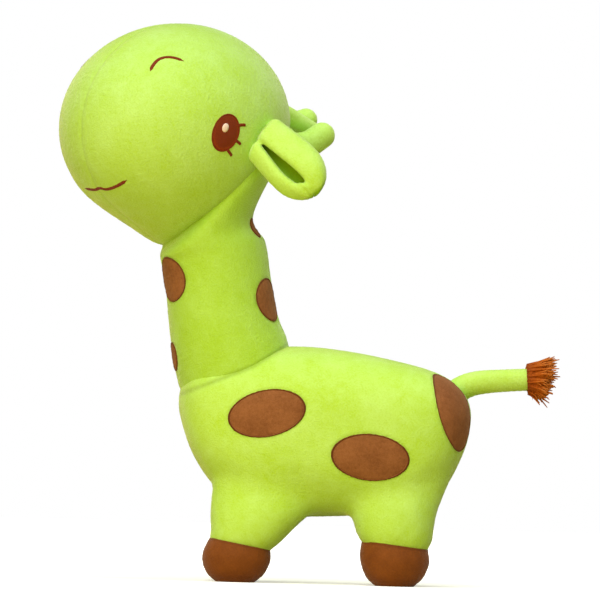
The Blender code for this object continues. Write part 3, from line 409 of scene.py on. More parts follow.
def volume(mesh):
    """Six times the signed volume: the sum over triangles of a . (b x c)."""
    mesh.calc_loop_triangles()
    corners = np.zeros(len(mesh.loop_triangles) * 3, dtype=np.int32)
    mesh.loop_triangles.foreach_get("vertices", corners)
    a, b, c = (read(mesh)[corners.reshape(-1, 3)[:, place]] for place in range(3))
    return float(np.sum(a * np.cross(b, c)))


def surface(name, points, faces):
    """A mesh object from points and faces, turned outwards by the sign of its volume."""
    mesh = bpy.data.meshes.new(name)
    mesh.from_pydata(np.asarray(points, dtype=float).tolist(), [], faces)
    mesh.validate()
    made = bpy.data.objects.new(name, mesh)
    bpy.context.scene.collection.objects.link(made)
    if volume(mesh) < 0:
        mesh.flip_normals()
    mesh.shade_smooth()
    return made


def closed_form(name, loops, first=None, last=None):
    """A closed surface from rings, each end drawn to a pole, which is the end ring's middle unless it is given."""
    count, sides = loops.shape[:2]
    first = loops[0].mean(0) if first is None else first
    last = loops[-1].mean(0) if last is None else last
    return surface(name, np.vstack([loops.reshape(-1, 3), first, last]), ring_faces(count, sides))


def read(mesh):
    """The points of a mesh."""
    points = np.zeros(len(mesh.vertices) * 3)
    mesh.vertices.foreach_get("co", points)
    return points.reshape(-1, 3)


def write(mesh, points):
    """Moves the points of a mesh."""
    mesh.vertices.foreach_set("co", np.asarray(points, dtype=float).reshape(-1))
    mesh.update()


def normals(mesh):
    """The outward direction at each point."""
    out = np.zeros(len(mesh.vertices) * 3)
    mesh.vertices.foreach_get("normal", out)
    return out.reshape(-1, 3)


def mark(piece, **attributes):
    """Stores values for each point that a material reads."""
    count = len(piece.data.vertices)
    for name, values in attributes.items():
        layer = piece.data.attributes.new(name, "FLOAT", "POINT")
        layer.data.foreach_set("value", np.broadcast_to(np.asarray(values, dtype=float), count).copy())


def marks(piece, name):
    """The values that mark stored."""
    values = np.zeros(len(piece.data.vertices))
    piece.data.attributes[name].data.foreach_get("value", values)
    return values


def settle(piece):
    """Applies the piece's modifiers to its mesh."""
    graph = bpy.context.evaluated_depsgraph_get()
    mesh = bpy.data.meshes.new_from_object(piece.evaluated_get(graph))
    piece.modifiers.clear()
    old = piece.data
    piece.data = mesh
    bpy.data.meshes.remove(old)
    mesh.shade_smooth()


def nap(piece, depth=0.06 * MM, pitch=3.4 * MM):
    """The pile's unevenness: each point moves along its normal by the depth times a sum of plane waves of about one
    pitch in many directions, so that the outline is soft."""
    count, tallest = 14, 2
    chance = np.random.default_rng(3)
    waves = unit(chance.normal(0, 1, (count, 3))) * (2 * math.pi / pitch) * chance.uniform(0.8, 1.3, (count, 1))
    points = read(piece.data)
    height = np.sin(points @ waves.T + chance.uniform(0, 6.3, count)).sum(1) / math.sqrt(count / 2)
    write(piece.data, points + normals(piece.data) * (height.clip(-tallest, tallest) * depth)[:, None])


def dress(piece, body, finish, slot, *nodes, fill=None):
    """Gives a piece its finish and its body, and hides the nodes that it stands for; the material slot is not used."""
    piece.data.materials.append(finish)
    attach(piece, body)
    if nodes:
        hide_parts(*nodes)


def join(pieces, name):
    """One mesh object from several, which are removed."""
    points, faces, start = [], [], 0
    for piece in pieces:
        mesh = piece.data
        points.append(read(mesh))
        faces += [[corner + start for corner in polygon.vertices] for polygon in mesh.polygons]
        start += len(mesh.vertices)
        bpy.data.objects.remove(piece)
    return surface(name, np.vstack(points), faces)


def copy_of(piece):
    """A second object with a mesh of its own."""
    twin = bpy.data.objects.new(piece.name + "_copy", piece.data.copy())
    bpy.context.scene.collection.objects.link(twin)
    return twin


def even(piece, times):
    """A smoothing modifier: each point goes half-way to its neighbours' middle, some times over."""
    made = piece.modifiers.new("even", "SMOOTH")
    made.factor = 0.5
    made.iterations = times


def remesh(piece, size, times):
    """The piece's skin rebuilt from cubes of a size, then smoothed."""
    cubes = piece.modifiers.new("voxels", "REMESH")
    cubes.mode = "VOXEL"
    cubes.voxel_size = size
    even(piece, times)
    settle(piece)


def refine(piece):
    """The skin smoothed again, with each face split into four."""
    even(piece, 6)
    finer = piece.modifiers.new("finer", "SUBSURF")
    finer.levels = finer.render_levels = 1
    settle(piece)


def stuff(piece, cap):
    """Cloth simulation with air pressure 4 and no weight for 20 frames; no point moves further than the cap."""
    scene = bpy.context.scene
    start = read(piece.data)
    cloth = piece.modifiers.new("cloth", "CLOTH")
    cloth.settings.use_pressure = True
    cloth.settings.uniform_pressure_force = 4.0
    cloth.settings.effector_weights.gravity = 0
    cloth.settings.quality = 4
    for number in range(1, 21):
        scene.frame_set(number)
    graph = bpy.context.evaluated_depsgraph_get()
    swollen = read(piece.evaluated_get(graph).to_mesh())
    piece.modifiers.clear()
    scene.frame_set(1)
    move = swollen - start
    length = np.linalg.norm(move, axis=1, keepdims=True)
    write(piece.data, start + move * np.minimum(1, cap / np.maximum(length, 1e-9)))


# Body, legs and feet
def body_rings(count, sides):
    """The body's sections: squared ovals from back to belly, as wide as the stations say."""
    along, back, belly, width = curve(BODY[1:-1], count).T
    centres = rows_of(BODY_LENGTH * (along - 0.5), 0, BELLY + BODY_HEIGHT * (back + belly) / 2)
    ups = rows_of(0, 0, BODY_HEIGHT * (back - belly) / 2)
    return rings(centres, ups, rows_of(0, -BODY_WIDTH / 2 * width, 0), sides, 2.8)


def foot_slant(loops, x, place):
    """The rise of the seam above a foot: it grows evenly towards the foot's front and is level past its limits."""
    rise, back = FOOT_SLANT[place]
    return rise * np.clip(back - (loops[..., 0] - x) / (FOOT_LENGTH / 2), -1, 1.4)


def limb_rings(place, side):
    """A leg: two folded lips inside the foot, then ovals from the foot's seam up into the body, the seam's slant
    fading out over 14 mm."""
    share, stations = LEGS[place]
    x = BODY_LENGTH * (share - 0.5)
    foot = FOOT_HEIGHTS[place]
    top = BELLY + BODY_HEIGHT * LEG_TOP
    rise, shift, length, width, spread = curve(stations, 24).T
    centres = rows_of(x + FOOT_LENGTH / 2 * shift, LEG_SPREAD * side * spread, foot + (top - foot) * rise)
    long_axes = np.outer(length, (FOOT_LENGTH / 2, 0, 0))
    loops = rings(centres, long_axes, np.outer(width, (0, -FOOT_WIDTH / 2, 0)), 40)
    lips = [centres[0] + (loops[0] - centres[0]) * size - (0, 0, drop) for drop, size in LEG_LIPS]
    loops = np.concatenate([lips, loops])
    loops[..., 2] += foot_slant(loops, x, place) * np.clip(1 - (loops[..., 2] - foot) / (14 * MM), 0, 1)
    return loops


def shoulder_crease_shade(points):
    """Nearness to the seam between neck and body, a line that climbs from the chest to the back: painted shade in its
    crease.
    """
    x, z = (np.array(SHOULDER) * MM).T
    away = points[:, 2] - np.interp(points[:, 0], x, z)
    return 0.95 * np.exp(-(away / (1.7 * MM)) ** 2) * (points[:, 0] < x[-1])


def make_body():
    """Body and legs as one stuffed skin: the solids' sections, joined, remeshed, blown up and smoothed."""
    first = np.array([-BODY_LENGTH / 2, 0, BELLY + BODY_HEIGHT * BODY[0][1]])
    last = np.array([BODY_LENGTH / 2, 0, BELLY + BODY_HEIGHT * BODY[-1][1]])
    parts = [closed_form("trunk", body_rings(60, 64) + SHIFT, first + SHIFT, last + SHIFT)]
    for place in LEGS:
        for side, _ in SIDES:
            parts.append(closed_form("limb", limb_rings(place, side) + SHIFT))
    body = join(parts, "body_plush")
    remesh(body, 4 * MM, 14)
    stuff(body, 1.2 * MM)
    refine(body)
    # Painted shade along the shoulder seam, where the neck meets the body.
    mark(body, seam=shoulder_crease_shade(read(body.data)))
    nodes = ["body_filling"]
    for _, word in SIDES:
        nodes.append(f"flank_cover_{word}")
        for place in LEGS:
            nodes += [f"leg_cover_{place}_{word}", f"leg_filling_{place}_{word}"]
    dress(body, "torso", green, "green_plush", *nodes, fill=0.8)
    return body


def make_foot(place, side, word):
    """A foot: oval rings from the flat sole up its wall to the seam and in under the leg, leaning back as they rise,
    with no point below the floor."""
    sides, folded = 90, 3
    x = BODY_LENGTH * (LEGS[place][0] - 0.5)
    height = FOOT_HEIGHTS[place]
    wall = curve(FOOT, 30)
    wall = wall[wall[:, 0] > 0]
    rise, size = np.vstack([(0, 0.25), (0, 0.5), (0, wall[0, 1] - 0.02), wall, FOOT_RIM]).T
    lean, loss = FOOT_LEAN[place]
    upper = np.clip((rise - 0.35) / 0.65, 0, 1.1) ** 2
    centres = rows_of(x + lean * upper, LEG_SPREAD * side, height * rise)
    long_axes = np.outer(size * (1 - loss * upper), (FOOT_LENGTH / 2, 0, 0))
    loops = rings(centres, long_axes, np.outer(size, (0, -FOOT_WIDTH / 2, 0)), sides)
    loops[..., 2] += foot_slant(loops, x, place) * np.clip(loops[..., 2] / height, 0, 1) ** 2
    foot = closed_form(f"foot_plush_{place}_{word}", loops + SHIFT)
    # Painted shade on the top of the foot's wall, under the leg's lip at the seam.
    outside = np.arange(len(rise)) < len(rise) - folded
    near = np.append(np.repeat(rise * outside, sides), (0, 0))
    mark(foot, seam=0.7 * np.clip((near - 0.94) / 0.08, 0, 1))
    nap(foot)
    points = read(foot.data)
    points[:, 2] = np.maximum(points[:, 2], 0)
    write(foot.data, points)
    dress(foot, "torso", hoof, "brown_plush", f"foot_cover_{place}_{word}", fill=0.7)


# Neck and head: the head's own directions, and the plane of the seam between the two
UPRIGHT = np.array([0, 0, 1.0])
level = np.array([-math.cos(HEAD_TURN), -math.sin(HEAD_TURN), 0])
LEFT = np.array([math.sin(HEAD_TURN), -math.cos(HEAD_TURN), 0])
FORWARD = level * math.cos(HEAD_NOD) - UPRIGHT * math.sin(HEAD_NOD)
UP = UPRIGHT * math.cos(HEAD_NOD) + level * math.sin(HEAD_NOD)
HEAD_AXES = np.array([FORWARD, LEFT, UP])
HEAD_HALVES = np.array([HEAD_LENGTH, HEAD_WIDTH, HEAD_HEIGHT]) / 2
NECK_BASE = np.array([BODY_LENGTH * (NECK_FOOT - 0.5), 0, BELLY + BODY_HEIGHT]) + SHIFT
SEAM = NECK_BASE + np.array([0, 0, NECK_LENGTH * NECK_SEAM])
BACK = np.array([math.cos(SEAM_SLOPE), 0, math.sin(SEAM_SLOPE)])
NEAR = np.array(Matrix.Rotation(SEAM_ROLL, 3, Vector(BACK)) @ Vector((0, -1, 0)))
SEAM_NORMAL = unit(np.cross(BACK, NEAR))
SEAM_NORMAL = SEAM_NORMAL * np.sign(SEAM_NORMAL[2])
MIDDLE = SEAM + np.array([-HEAD_REACH, 0, HEAD_RISE])


def throat(away):
    """1 + share * exp(-angle from straight down / spread)."""
    length = np.linalg.norm(away, axis=-1, keepdims=True)
    angle = np.arccos(np.clip(-away[..., 2:3] / length, -1, 1))
    return 1 + THROAT_SHARE * np.exp(-angle / THROAT_SPREAD)


def slimmed(points):
    """Points drawn in along X towards the head's middle by HEAD_SLIM, the more so above the mouth, and a jaw drawn in
    towards the middle by a hump of its own height."""
    away = points[..., 0] - MIDDLE[0]
    weight = np.clip((points[..., 2] - SLIM_FROM) / SLIM_OVER, 0, 1)
    weight = weight * weight * (3 - 2 * weight)
    out = points.copy()
    out[..., 0] -= away * np.where(away > 0, HEAD_SLIM[0], HEAD_SLIM[1]) * weight
    jaw = np.exp(-((points[..., 2] - JAW_LEVEL) / JAW_SPREAD) ** 2) * np.clip(-away / JAW_WAY, 0, 1)
    return out + unit(MIDDLE - points) * (JAW_DEPTH * jaw)[..., None]


def mirrored(points):
    """Points seen in the mirror of the head's middle plane."""
    return points - 2 * ((points - MIDDLE) @ LEFT)[..., None] * LEFT


def head_seat(place, flip=False):
    """A place on the head by its turn from the snout to the left and its rise in degrees, or its mirror image on the
    right side: the point, its outward direction, and right and up as seen from outside."""
    turn, rise = np.radians(place)
    shares = np.array([math.cos(rise) * math.cos(turn), math.cos(rise) * math.sin(turn), math.sin(rise)])
    out = unit((shares / HEAD_HALVES) @ HEAD_AXES)
    side = unit(np.cross(UP, out))
    ways = (out, side, np.cross(out, side))
    reach = (shares * HEAD_HALVES) @ HEAD_AXES
    point = MIDDLE + reach * throat(reach)
    if flip:
        point = mirrored(point)
        ways = (way - 2 * (way @ LEFT) * LEFT for way in ways)
    return slimmed(point), *ways


def in_head(shares):
    """A direction by its forward, left and up shares."""
    return unit(np.asarray(shares, dtype=float) @ HEAD_AXES)


def head_section(sides):
    """The head's outline in the seam's plane, found by halving steps along each ray, and drawn in a little."""
    angle = np.linspace(0, 2 * math.pi, sides, endpoint=False)
    run = np.outer(np.cos(angle), BACK) + np.outer(np.sin(angle), NEAR)
    low, high = np.zeros(sides), np.full(sides, HEAD_LENGTH)
    for _ in range(24):
        reach = (low + high) / 2
        away = SEAM + run * reach[:, None] - MIDDLE
        inside = np.linalg.norm(away @ HEAD_AXES.T / HEAD_HALVES, axis=1) / throat(away)[:, 0] < 1
        low, high = np.where(inside, reach, low), np.where(inside, high, reach)
    return SEAM + run * (NECK_TOP * low)[:, None]


def crease(above):
    """How far a skin is drawn in at a sewn seam: a soft valley on its own side, and ever deeper past the seam."""
    return np.where(above > 0, 1.3 * MM * np.exp(-(above / (3.5 * MM)) ** 2), 1.3 * MM - 0.55 * above)


def seam_mark(away, width, strength):
    """Nearness to a seam: strength * exp(-(distance / width)^2)."""
    return np.exp(-(away / width) ** 2) * strength


def make_neck():
    """The neck: tilted oval rings from inside the body to the head seam, where it turns in like a sewn edge."""
    count, sides = 130, 120
    rise, shift, tilt, depth, width = np.array(NECK).T
    centres = NECK_BASE + rows_of(NECK_DEPTH * shift, 0, NECK_LENGTH * rise)
    half = NECK_DEPTH / 2 * depth
    deep_axes = rows_of(half * np.cos(tilt), 0, half * np.sin(tilt))
    loops = rings(centres, deep_axes, rows_of(0, -NECK_WIDTH / 2 * width, 0), sides)
    top = head_section(sides)
    loops = np.concatenate([loops, [top, top + SEAM_NORMAL * NECK_LENGTH * 0.06]])
    loops = curve(loops.reshape(len(loops), -1), count).reshape(count, sides, 3)
    above = (loops - SEAM) @ SEAM_NORMAL
    loops = loops + unit(top.mean(0) - loops) * crease(-above)[..., None]
    neck = closed_form("neck_plush", loops)
    points = read(neck.data)
    # Painted shade on the neck at the head seam and at the shoulder seam, where the skin folds in.
    seam = seam_mark((points - SEAM) @ SEAM_NORMAL, 1.2 * MM, 0.4)
    mark(neck, seam=np.maximum(seam, shoulder_crease_shade(points)))
    dress(neck, "torso", neck_shaded_green, "green_plush", "neck_cover_left", "neck_cover_right", "neck_filling", fill=0.8)
    return neck


def make_head():
    """The head: an egg with a throat, remeshed, blown up and smoothed, then drawn in at the neck seam, flat under it,
    with a shallow valley along its middle seam."""
    count, sides = 200, 240
    angle = np.linspace(0, math.pi, count + 2)[1:-1]
    centres = MIDDLE + np.outer(np.cos(angle) * HEAD_LENGTH / 2, FORWARD)
    ups = np.outer(np.sin(angle) * HEAD_HEIGHT / 2, UP)
    across = np.outer(np.sin(angle) * HEAD_WIDTH / 2, LEFT)
    away = rings(centres, ups, across, sides) - MIDDLE
    ends = [MIDDLE + FORWARD * HEAD_LENGTH / 2, MIDDLE - FORWARD * HEAD_LENGTH / 2]
    head = closed_form("head_plush", MIDDLE + away * throat(away), *ends)
    remesh(head, 2.2 * MM, 8)
    stuff(head, 0.8 * MM)
    refine(head)
    points = read(head.data)
    above = (points - SEAM) @ SEAM_NORMAL
    points = points + unit(head_section(60).mean(0) - points) * crease(above)[:, None]
    underside = SEAM - SEAM_NORMAL * 14 * MM
    under = np.minimum((points - underside) @ SEAM_NORMAL, 0)
    points = points - SEAM_NORMAL * under[:, None]
    middle = (points - MIDDLE) @ LEFT
    valley = seam_mark(middle, 2.2 * MM, 0.35 * MM) * (above > 0)
    points = points - unit(points - MIDDLE) * valley[:, None]
    write(head.data, slimmed(points))
    # Painted shade along the middle seam's valley and along the neck seam.
    seam = seam_mark(middle, 0.9 * MM, 0.35) + seam_mark(above, 1.2 * MM, 0.4)
    mark(head, seam=np.clip(seam, 0, 1))
    dress(head, "head", head_shaded_green, "green_plush", "head_cover_left", "head_cover_right", "head_filling", fill=0.8)
    return head


# Spots and stitches
def grid_faces(rows, columns):
    """Quads of an open grid."""
    row, column = np.meshgrid(np.arange(rows - 1), np.arange(columns - 1), indexing="ij")
    first = row * columns + column
    return np.stack([first, first + 1, first + 1 + columns, first + columns], -1).reshape(-1, 4).tolist()


def drape(grid, out, target):
    """A flat grid of points moved 60 mm out, then projected back along that direction on to a skin: places and
    normals."""
    mesh = bpy.data.meshes.new("drape")
    mesh.from_pydata((grid + out * 60 * MM).reshape(-1, 3).tolist(), [], grid_faces(*grid.shape[:2]))
    sheet = bpy.data.objects.new("drape", mesh)
    bpy.context.scene.collection.objects.link(sheet)
    wrap = sheet.modifiers.new("wrap", "SHRINKWRAP")
    wrap.target = target
    wrap.wrap_method = "PROJECT"
    wrap.use_positive_direction = True
    wrap.use_negative_direction = True
    settle(sheet)
    places = read(sheet.data).reshape(grid.shape)
    bpy.data.objects.remove(sheet)
    normal = unit(np.cross(np.gradient(places, axis=0), np.gradient(places, axis=1)) + 1e-12)
    return places, normal * np.sign(normal @ out)[..., None]


def pad(name, seat, halves, tilt, target, puff, rim=0.0, sunk=0.5 * MM, sides=120):
    """A padded oval on a skin: rings by share of the radius, puff * (0.45 + 0.55 * (1 - r^3)) above the skin, with a
    raised rim of stitches between shares 1 - rim and 1, and an edge and back sunk in the skin."""
    centre, out, right, top = seat
    share = np.concatenate([np.linspace(0.02, 0.86, 13), np.linspace(0.88, 1.0, 13)])
    turn = np.linspace(0, 2 * math.pi, sides + 1)
    a = np.outer(share, np.cos(turn)) * halves[0]
    b = np.outer(share, np.sin(turn)) * halves[1]
    grid = (a * math.cos(tilt) - b * math.sin(tilt))[..., None] * right
    grid = grid + (a * math.sin(tilt) + b * math.cos(tilt))[..., None] * top
    places, normal = drape(centre + grid, out, target)
    places, normal = places[:, :-1], normal[:, :-1]
    normal = unit(normal + np.roll(normal, 1, 1) + np.roll(normal, -1, 1))
    inner = 1 - rim
    height = puff * (0.45 + 0.55 * (1 - np.clip(share / inner, 0, 1) ** 3))
    height = height * (0.4 + 0.6 * np.clip((1.0 - share) / 0.03, 0, 1) ** 0.5)
    if rim:
        height = height + 0.30 * MM * np.exp(-((share - (1 - rim / 2)) / (rim / 2.6)) ** 2)
        height = height - 0.25 * MM * np.exp(-((share - inner + rim * 0.25) / (rim / 4)) ** 2)
    loops = np.concatenate([places + normal * height[:, None, None], (places - normal * sunk)[::-1]])
    made = closed_form(name, loops)

    def both_sides(values):
        """Values for the pad's upper side, its back and its two poles."""
        return np.concatenate([values.reshape(-1), values[::-1].reshape(-1), np.zeros(2)])

    edge = np.clip((share - inner) / rim * 2 + 0.4, 0, 1) if rim else 0 * share
    stitches = round(math.pi * (halves[0] + halves[1]) / (0.9 * MM))
    all_round = np.ones((1, sides))
    mark(made, edge=both_sides(edge[:, None] * all_round), share=both_sides(share[:, None] * all_round))
    mark(made, stitch=both_sides(turn[:-1] / (2 * math.pi) * np.ones((len(share), 1))) * stitches)
    mark(made, across=both_sides(a[:, :-1]), along=both_sides(b[:, :-1]))
    return made, places[-1]


def seam_line(name, line, width, seat, target, height=0.45 * MM, steps=70):
    """A line of stitches on a skin: a band along a curve through points in millimetres, thin at its ends, round on
    its upper side with a rise and fall like twisted thread."""
    centre, out, right, top = seat
    count = 9
    line = curve(np.array(line) * MM, steps)
    run = unit(np.gradient(line, axis=0))
    side = np.stack([-run[:, 1], run[:, 0]], 1)
    lift = np.linspace(-1, 1, count)
    taper = np.clip(np.sin(np.linspace(0, math.pi, steps)) * 4, 0.3, 1)
    band = line[:, None] + side[:, None] * (lift[None, :, None] * width / 2 * taper[:, None, None])
    places, normal = drape(centre + band[..., :1] * right + band[..., 1:] * top, out, target)
    rise = np.sqrt(np.clip(1 - lift ** 2, 0, 1)) * height
    twist = 1 + 0.25 * np.sin(np.linspace(0, steps * 0.9, steps) * 2)
    upper = places + normal * (rise[None] * twist[:, None] * taper[:, None])[..., None]
    lower = places - normal * 0.4 * MM
    made = closed_form(name, np.concatenate([upper, lower[:, ::-1]], 1))
    length = np.cumsum(np.linalg.norm(np.gradient(line, axis=0), axis=1))
    mark(made, thread=np.append(np.repeat(length, 2 * count), (0, 0)), ring=0.0)
    return made


def shade_round_pads(skin, rims):
    """Painted shade round the pads: adds to a skin's seam marks the nearness of each point to the rims of its pads, 0.8
    * exp(-(distance / mm)^2).
    """
    points, seam = read(skin.data), marks(skin, "seam")
    for rim in rims:
        reach = np.linalg.norm(rim - rim.mean(0), axis=1).max() + 5 * MM
        close = np.flatnonzero(np.linalg.norm(points - rim.mean(0), axis=1) < reach)
        away = np.linalg.norm(points[close][:, None] - rim[None], axis=2).min(1)
        seam[close] = np.maximum(seam[close], seam_mark(away, 1.0 * MM, 0.8))
    skin.data.attributes["seam"].data.foreach_set("value", seam)


# Ears, horns, forelock and tail
def make_ear(word):
    """A stuffed leaf folded lengthwise: a thick C-shaped section with round lips, drawn together to a round tip, its
    root dived into the head; remeshed, with fine folds fanned out at the tip. The right ear mirrors the left."""
    run = in_head((-0.235, 0.775, -0.680))
    across = in_head((-0.582, 0.383, 0.717))
    across = unit(across - run * (run @ across))
    inward = np.cross(across, run)
    root = head_seat((101, -4))[0]
    along = np.linspace(-0.26, 1.0, 90)
    swell = np.interp(along, (-0.26, 0.0, 0.25, 0.45, 0.6), (0.82, 0.88, 0.95, 1.0, 1.0))
    size = swell * np.sqrt(np.clip(1 - (np.clip(along - 0.55, 0, 1) / 0.455) ** 2, 0, 1))
    closing = np.clip((along - 0.70) / 0.24, 0, 1) ** 1.5
    shut = np.clip((0.50 - along) / 0.50, 0, 1)
    low = np.radians(-132 - 46 * closing - 12 * shut)
    high = np.radians(172 + 10 * closing + 7 * shut)
    thick = EAR_THICK * np.minimum(1, 1.2 * size)
    wide = (EAR_HALF_WIDTH * size - thick / 2)[:, None]
    deep = (EAR_HALF_DEPTH * size - thick / 2)[:, None]
    half = (thick / 2)[:, None, None]
    turn = low[:, None] + (high - low)[:, None] * np.linspace(0, 1, 60)[None]
    swing = np.linspace(0, math.pi, 14)[1:-1][None, :, None]

    def section(angle, offset):
        """Points of the section's middle line moved along its own normal, as across and inward shares."""
        normal = unit(np.stack([np.sin(angle) * deep, np.cos(angle) * wide], -1) + 1e-12)
        return np.stack([np.sin(angle) * wide, np.cos(angle) * deep], -1) + normal * offset

    def lip(edge, sense):
        """The round end of the section at one edge."""
        normal = unit(section(edge[:, None], 1.0) - section(edge[:, None], 0.0))
        tangent = np.stack([normal[..., 1], -normal[..., 0]], -1) * sense
        return section(edge[:, None], 0.0) + (normal * np.cos(swing) + tangent * np.sin(swing)) * half

    leaf = np.concatenate([section(turn, half), lip(high, 1), section(turn, -half)[:, ::-1], lip(low, -1)[:, ::-1]], 1)
    dive = np.clip((-0.01 - along[:, None] - 0.05 * leaf[..., 0] / EAR_HALF_WIDTH) / 0.24, 0, 1) ** 1.3
    spine = root + np.outer(along * EAR_LONG + 6.8 * MM, run) - 1.5 * MM * across
    spine = spine - np.outer(2.0 * MM * np.clip(along, 0, 1) ** 2, inward)
    loops = spine[:, None] + leaf[..., :1] * across + (leaf[..., 1:] + 26 * MM * dive[..., None]) * inward
    ear = closed_form("ear_plush_" + word, loops)
    remesh(ear, 1.0 * MM, 12)
    points = read(ear.data)
    away = points - root + 1.5 * MM * across
    along, wide, deep = away @ run / EAR_LONG, away @ across, away @ inward
    fan = np.degrees(np.arctan2(wide + 6 * MM, deep - 2 * MM))
    folds = np.sin(fan / 9.0) * np.clip((along - 0.62) / 0.3, 0, 1)
    write(ear.data, points + normals(ear.data) * (0.45 * MM * folds)[:, None])
    # inner: the darker green towards the middle of the fold, painted shade in its hollow.
    far_out = np.sqrt((wide / (EAR_HALF_WIDTH - 8 * MM)) ** 2 + (deep / (EAR_HALF_DEPTH - 5 * MM)) ** 2)
    if word == "right":
        write(ear.data, mirrored(read(ear.data)))
        ear.data.flip_normals()
    mark(ear, seam=0.0, inner=np.clip(3 * (1 - far_out), 0, 1))
    nap(ear)
    dress(ear, "ear_" + word, lining, "green_plush", "ear_outer_" + word, "ear_lining_" + word, fill=0.6)


def make_tube(name, line, body, finish, *nodes, fill=0.8, dome=True, count=60):
    """A stuffed tube: round rings square to a curve through the line's points, radii along it, a round far end."""
    path, radii = line
    path = curve(np.array(path) * MM, count)
    run = unit(np.gradient(path, axis=0))
    reach = curve(np.array(radii)[:, None] * MM, count)[:, 0]
    if dome:
        angle = np.radians(np.linspace(0, 88, 16)[1:])
        path = np.vstack([path, path[-1] + np.outer(np.sin(angle) * reach[-1], run[-1])])
        run = np.vstack([run, np.repeat(run[-1:], len(angle), 0)])
        reach = np.append(reach, np.cos(angle) * reach[-1])
    side = unit(np.cross(run, UPRIGHT))
    made = closed_form(name, rings(path, np.cross(side, run) * reach[:, None], side * reach[:, None], 48))
    mark(made, seam=0.0)
    nap(made)
    dress(made, body, finish, "green_plush", *nodes, fill=fill)


def make_tassel():
    """Yarn strands sewn in the tail's end: each a tapered curved rod from a point of the end's disc, longer in five
    lobes, drawn towards seven clumps and spread outwards, over a short rounded core."""
    count, steps, sides = 520, 9, 5
    chance = np.random.default_rng(11)
    turn = chance.uniform(0, 2 * math.pi, count)
    share = np.sqrt(chance.uniform(0, 1, count))
    end = np.array(TASSEL_FROM) * MM
    ahead, aside, above = unit((1, 0, 0.07)), np.array([0, 1.0, 0]), unit((-0.07, 0, 1))
    radial = np.outer(np.cos(turn), aside) + np.outer(np.sin(turn), above)
    lobe = 0.5 + 0.5 * np.sin(turn * 5 + 1.3)
    length = (14.0 + 7.0 * lobe * share + chance.normal(0, 1.2, count)) * MM
    length = length * (1 - 0.45 * np.clip(-np.sin(turn) - 0.1, 0, 1) * share)
    start = end + radial * (share * 10.4 * MM)[:, None] - ahead * 0.5 * MM
    seventh = np.round(turn * 7 / 6.283) * 0.898
    clump = unit(rows_of(0, np.cos(seventh), np.sin(seventh)))
    spread = radial * (0.02 + 0.11 * share * lobe)[:, None] + clump * 0.11 + chance.normal(0, 0.07, (count, 3))
    spread = spread - above * (np.clip(-np.sin(turn) - 0.55, 0, 1) * share * 0.7)[:, None]
    run = unit(ahead + spread)
    t = np.linspace(0, 1, steps)
    bend = chance.normal(0, 2.0 * MM, (count, 3)) + radial * (0.8 * MM * share)[:, None] - above * 0.8 * MM
    path = start[:, None] + run[:, None] * (length[:, None] * t)[..., None]
    path = path + bend[:, None] * (t ** 2)[None, :, None]
    thick = 0.85 * MM * (1.0 - 0.6 * t ** 3)
    angle = np.linspace(0, 2 * math.pi, sides, endpoint=False)[None, None, :, None]
    first = unit(np.cross(run, above + 0.01 * aside))
    second = np.cross(run, first)
    ring = np.cos(angle) * first[:, None, None] + np.sin(angle) * second[:, None, None]
    loops = path[:, :, None] + ring * thick[None, :, None, None]
    points = np.concatenate([loops.reshape(count, -1, 3), path[:, :1], path[:, -1:]], 1)
    strand = ring_faces(steps, sides)
    faces = [[corner + start for corner in face] for start in range(0, points[..., 0].size, points.shape[1])
             for face in strand]
    strands = surface("tassel_fur", points.reshape(-1, 3), faces)
    mark(strands, along=np.tile(np.concatenate([np.repeat(t, sides), (0, 1)]), count))
    dress(strands, "tail", tuft, "brown_fur", "tail_tassel")
    reach, radius = curve(np.array(TASSEL_CORE) * MM, 30).T
    loops = rings(end + np.outer(reach, ahead), np.outer(radius, above), np.outer(radius, aside), 60)
    core = closed_form("tassel_core", loops)
    mark(core, along=0.2)
    nap(core, 0.5 * MM)
    dress(core, "tail", tuft, "brown_fur", fill=0.5)


body = make_body()
for place in LEGS:
    for side, word in SIDES:
        make_foot(place, side, word)
neck = make_neck()
head = make_head()
for _, word in SIDES:
    make_ear(word)
for word, line in HORNS.items():
    make_tube("horn_plush_" + word, line, "horn_" + word, lit_pale_green, "horn_cover_" + word, "horn_filling_" + word)
make_tube("forelock_plush", FORELOCK, "forelock", lit_pale_green, "forelock", fill=0.7)
make_tube("tail_plush", TAIL, "tail", green, "tail_cover", "tail_filling", dome=False, count=110)
make_tassel()

# Spots: name, seat on the skin (centre, outward direction, right, up), half sizes in millimetres, tilt, skin
spots = []
for name, x, z, tilt in (("flank_front", -25.2, 120.4, 13), ("flank_rear", 48.85, 91.3, -4)):
    for side, word in SIDES:
        seat = (np.array([x * MM, SHIFT[1], z * MM]), np.array([0.0, side, 0.0]), np.array([1.0, 0.0, 0.0]), UPRIGHT)
        spots.append((f"{name}_spot_{word}", seat, (28.0, 16.6), tilt, body))
for side, word in SIDES:
    centre = np.array([111.4 * MM, SHIFT[1] + 34.6 * MM * side, 124.0 * MM])
    seat = (centre, np.array([0.602, 0.799 * side, 0]), np.array([0.799, -0.602 * side, 0]), UPRIGHT)
    spots.append((f"rump_spot_{word}", seat, (18.0, 28.0), 17, body))
trunk = join([copy_of(body), copy_of(neck)], "trunk")
for name, rise, turn, halves, tilt in (
    ("neck_front_upper", 0.36, 28, (15.6, 16.0), -6),
    ("neck_front_lower", -0.08, 14, (8.1, 10.2), 0),
    ("neck_back_lower", 0.26, 154, (14.6, 15.4), 12),
    ("neck_back_upper", 0.668, 153, (5.5, 6.9), 0),
):
    out = -np.array([math.cos(math.radians(turn)), math.sin(math.radians(turn)), 0])
    seat = (NECK_BASE + UPRIGHT * NECK_LENGTH * rise, out, np.cross(UPRIGHT, out), UPRIGHT)
    spots.append((name + "_spot", seat, halves, tilt, trunk))
rims = []
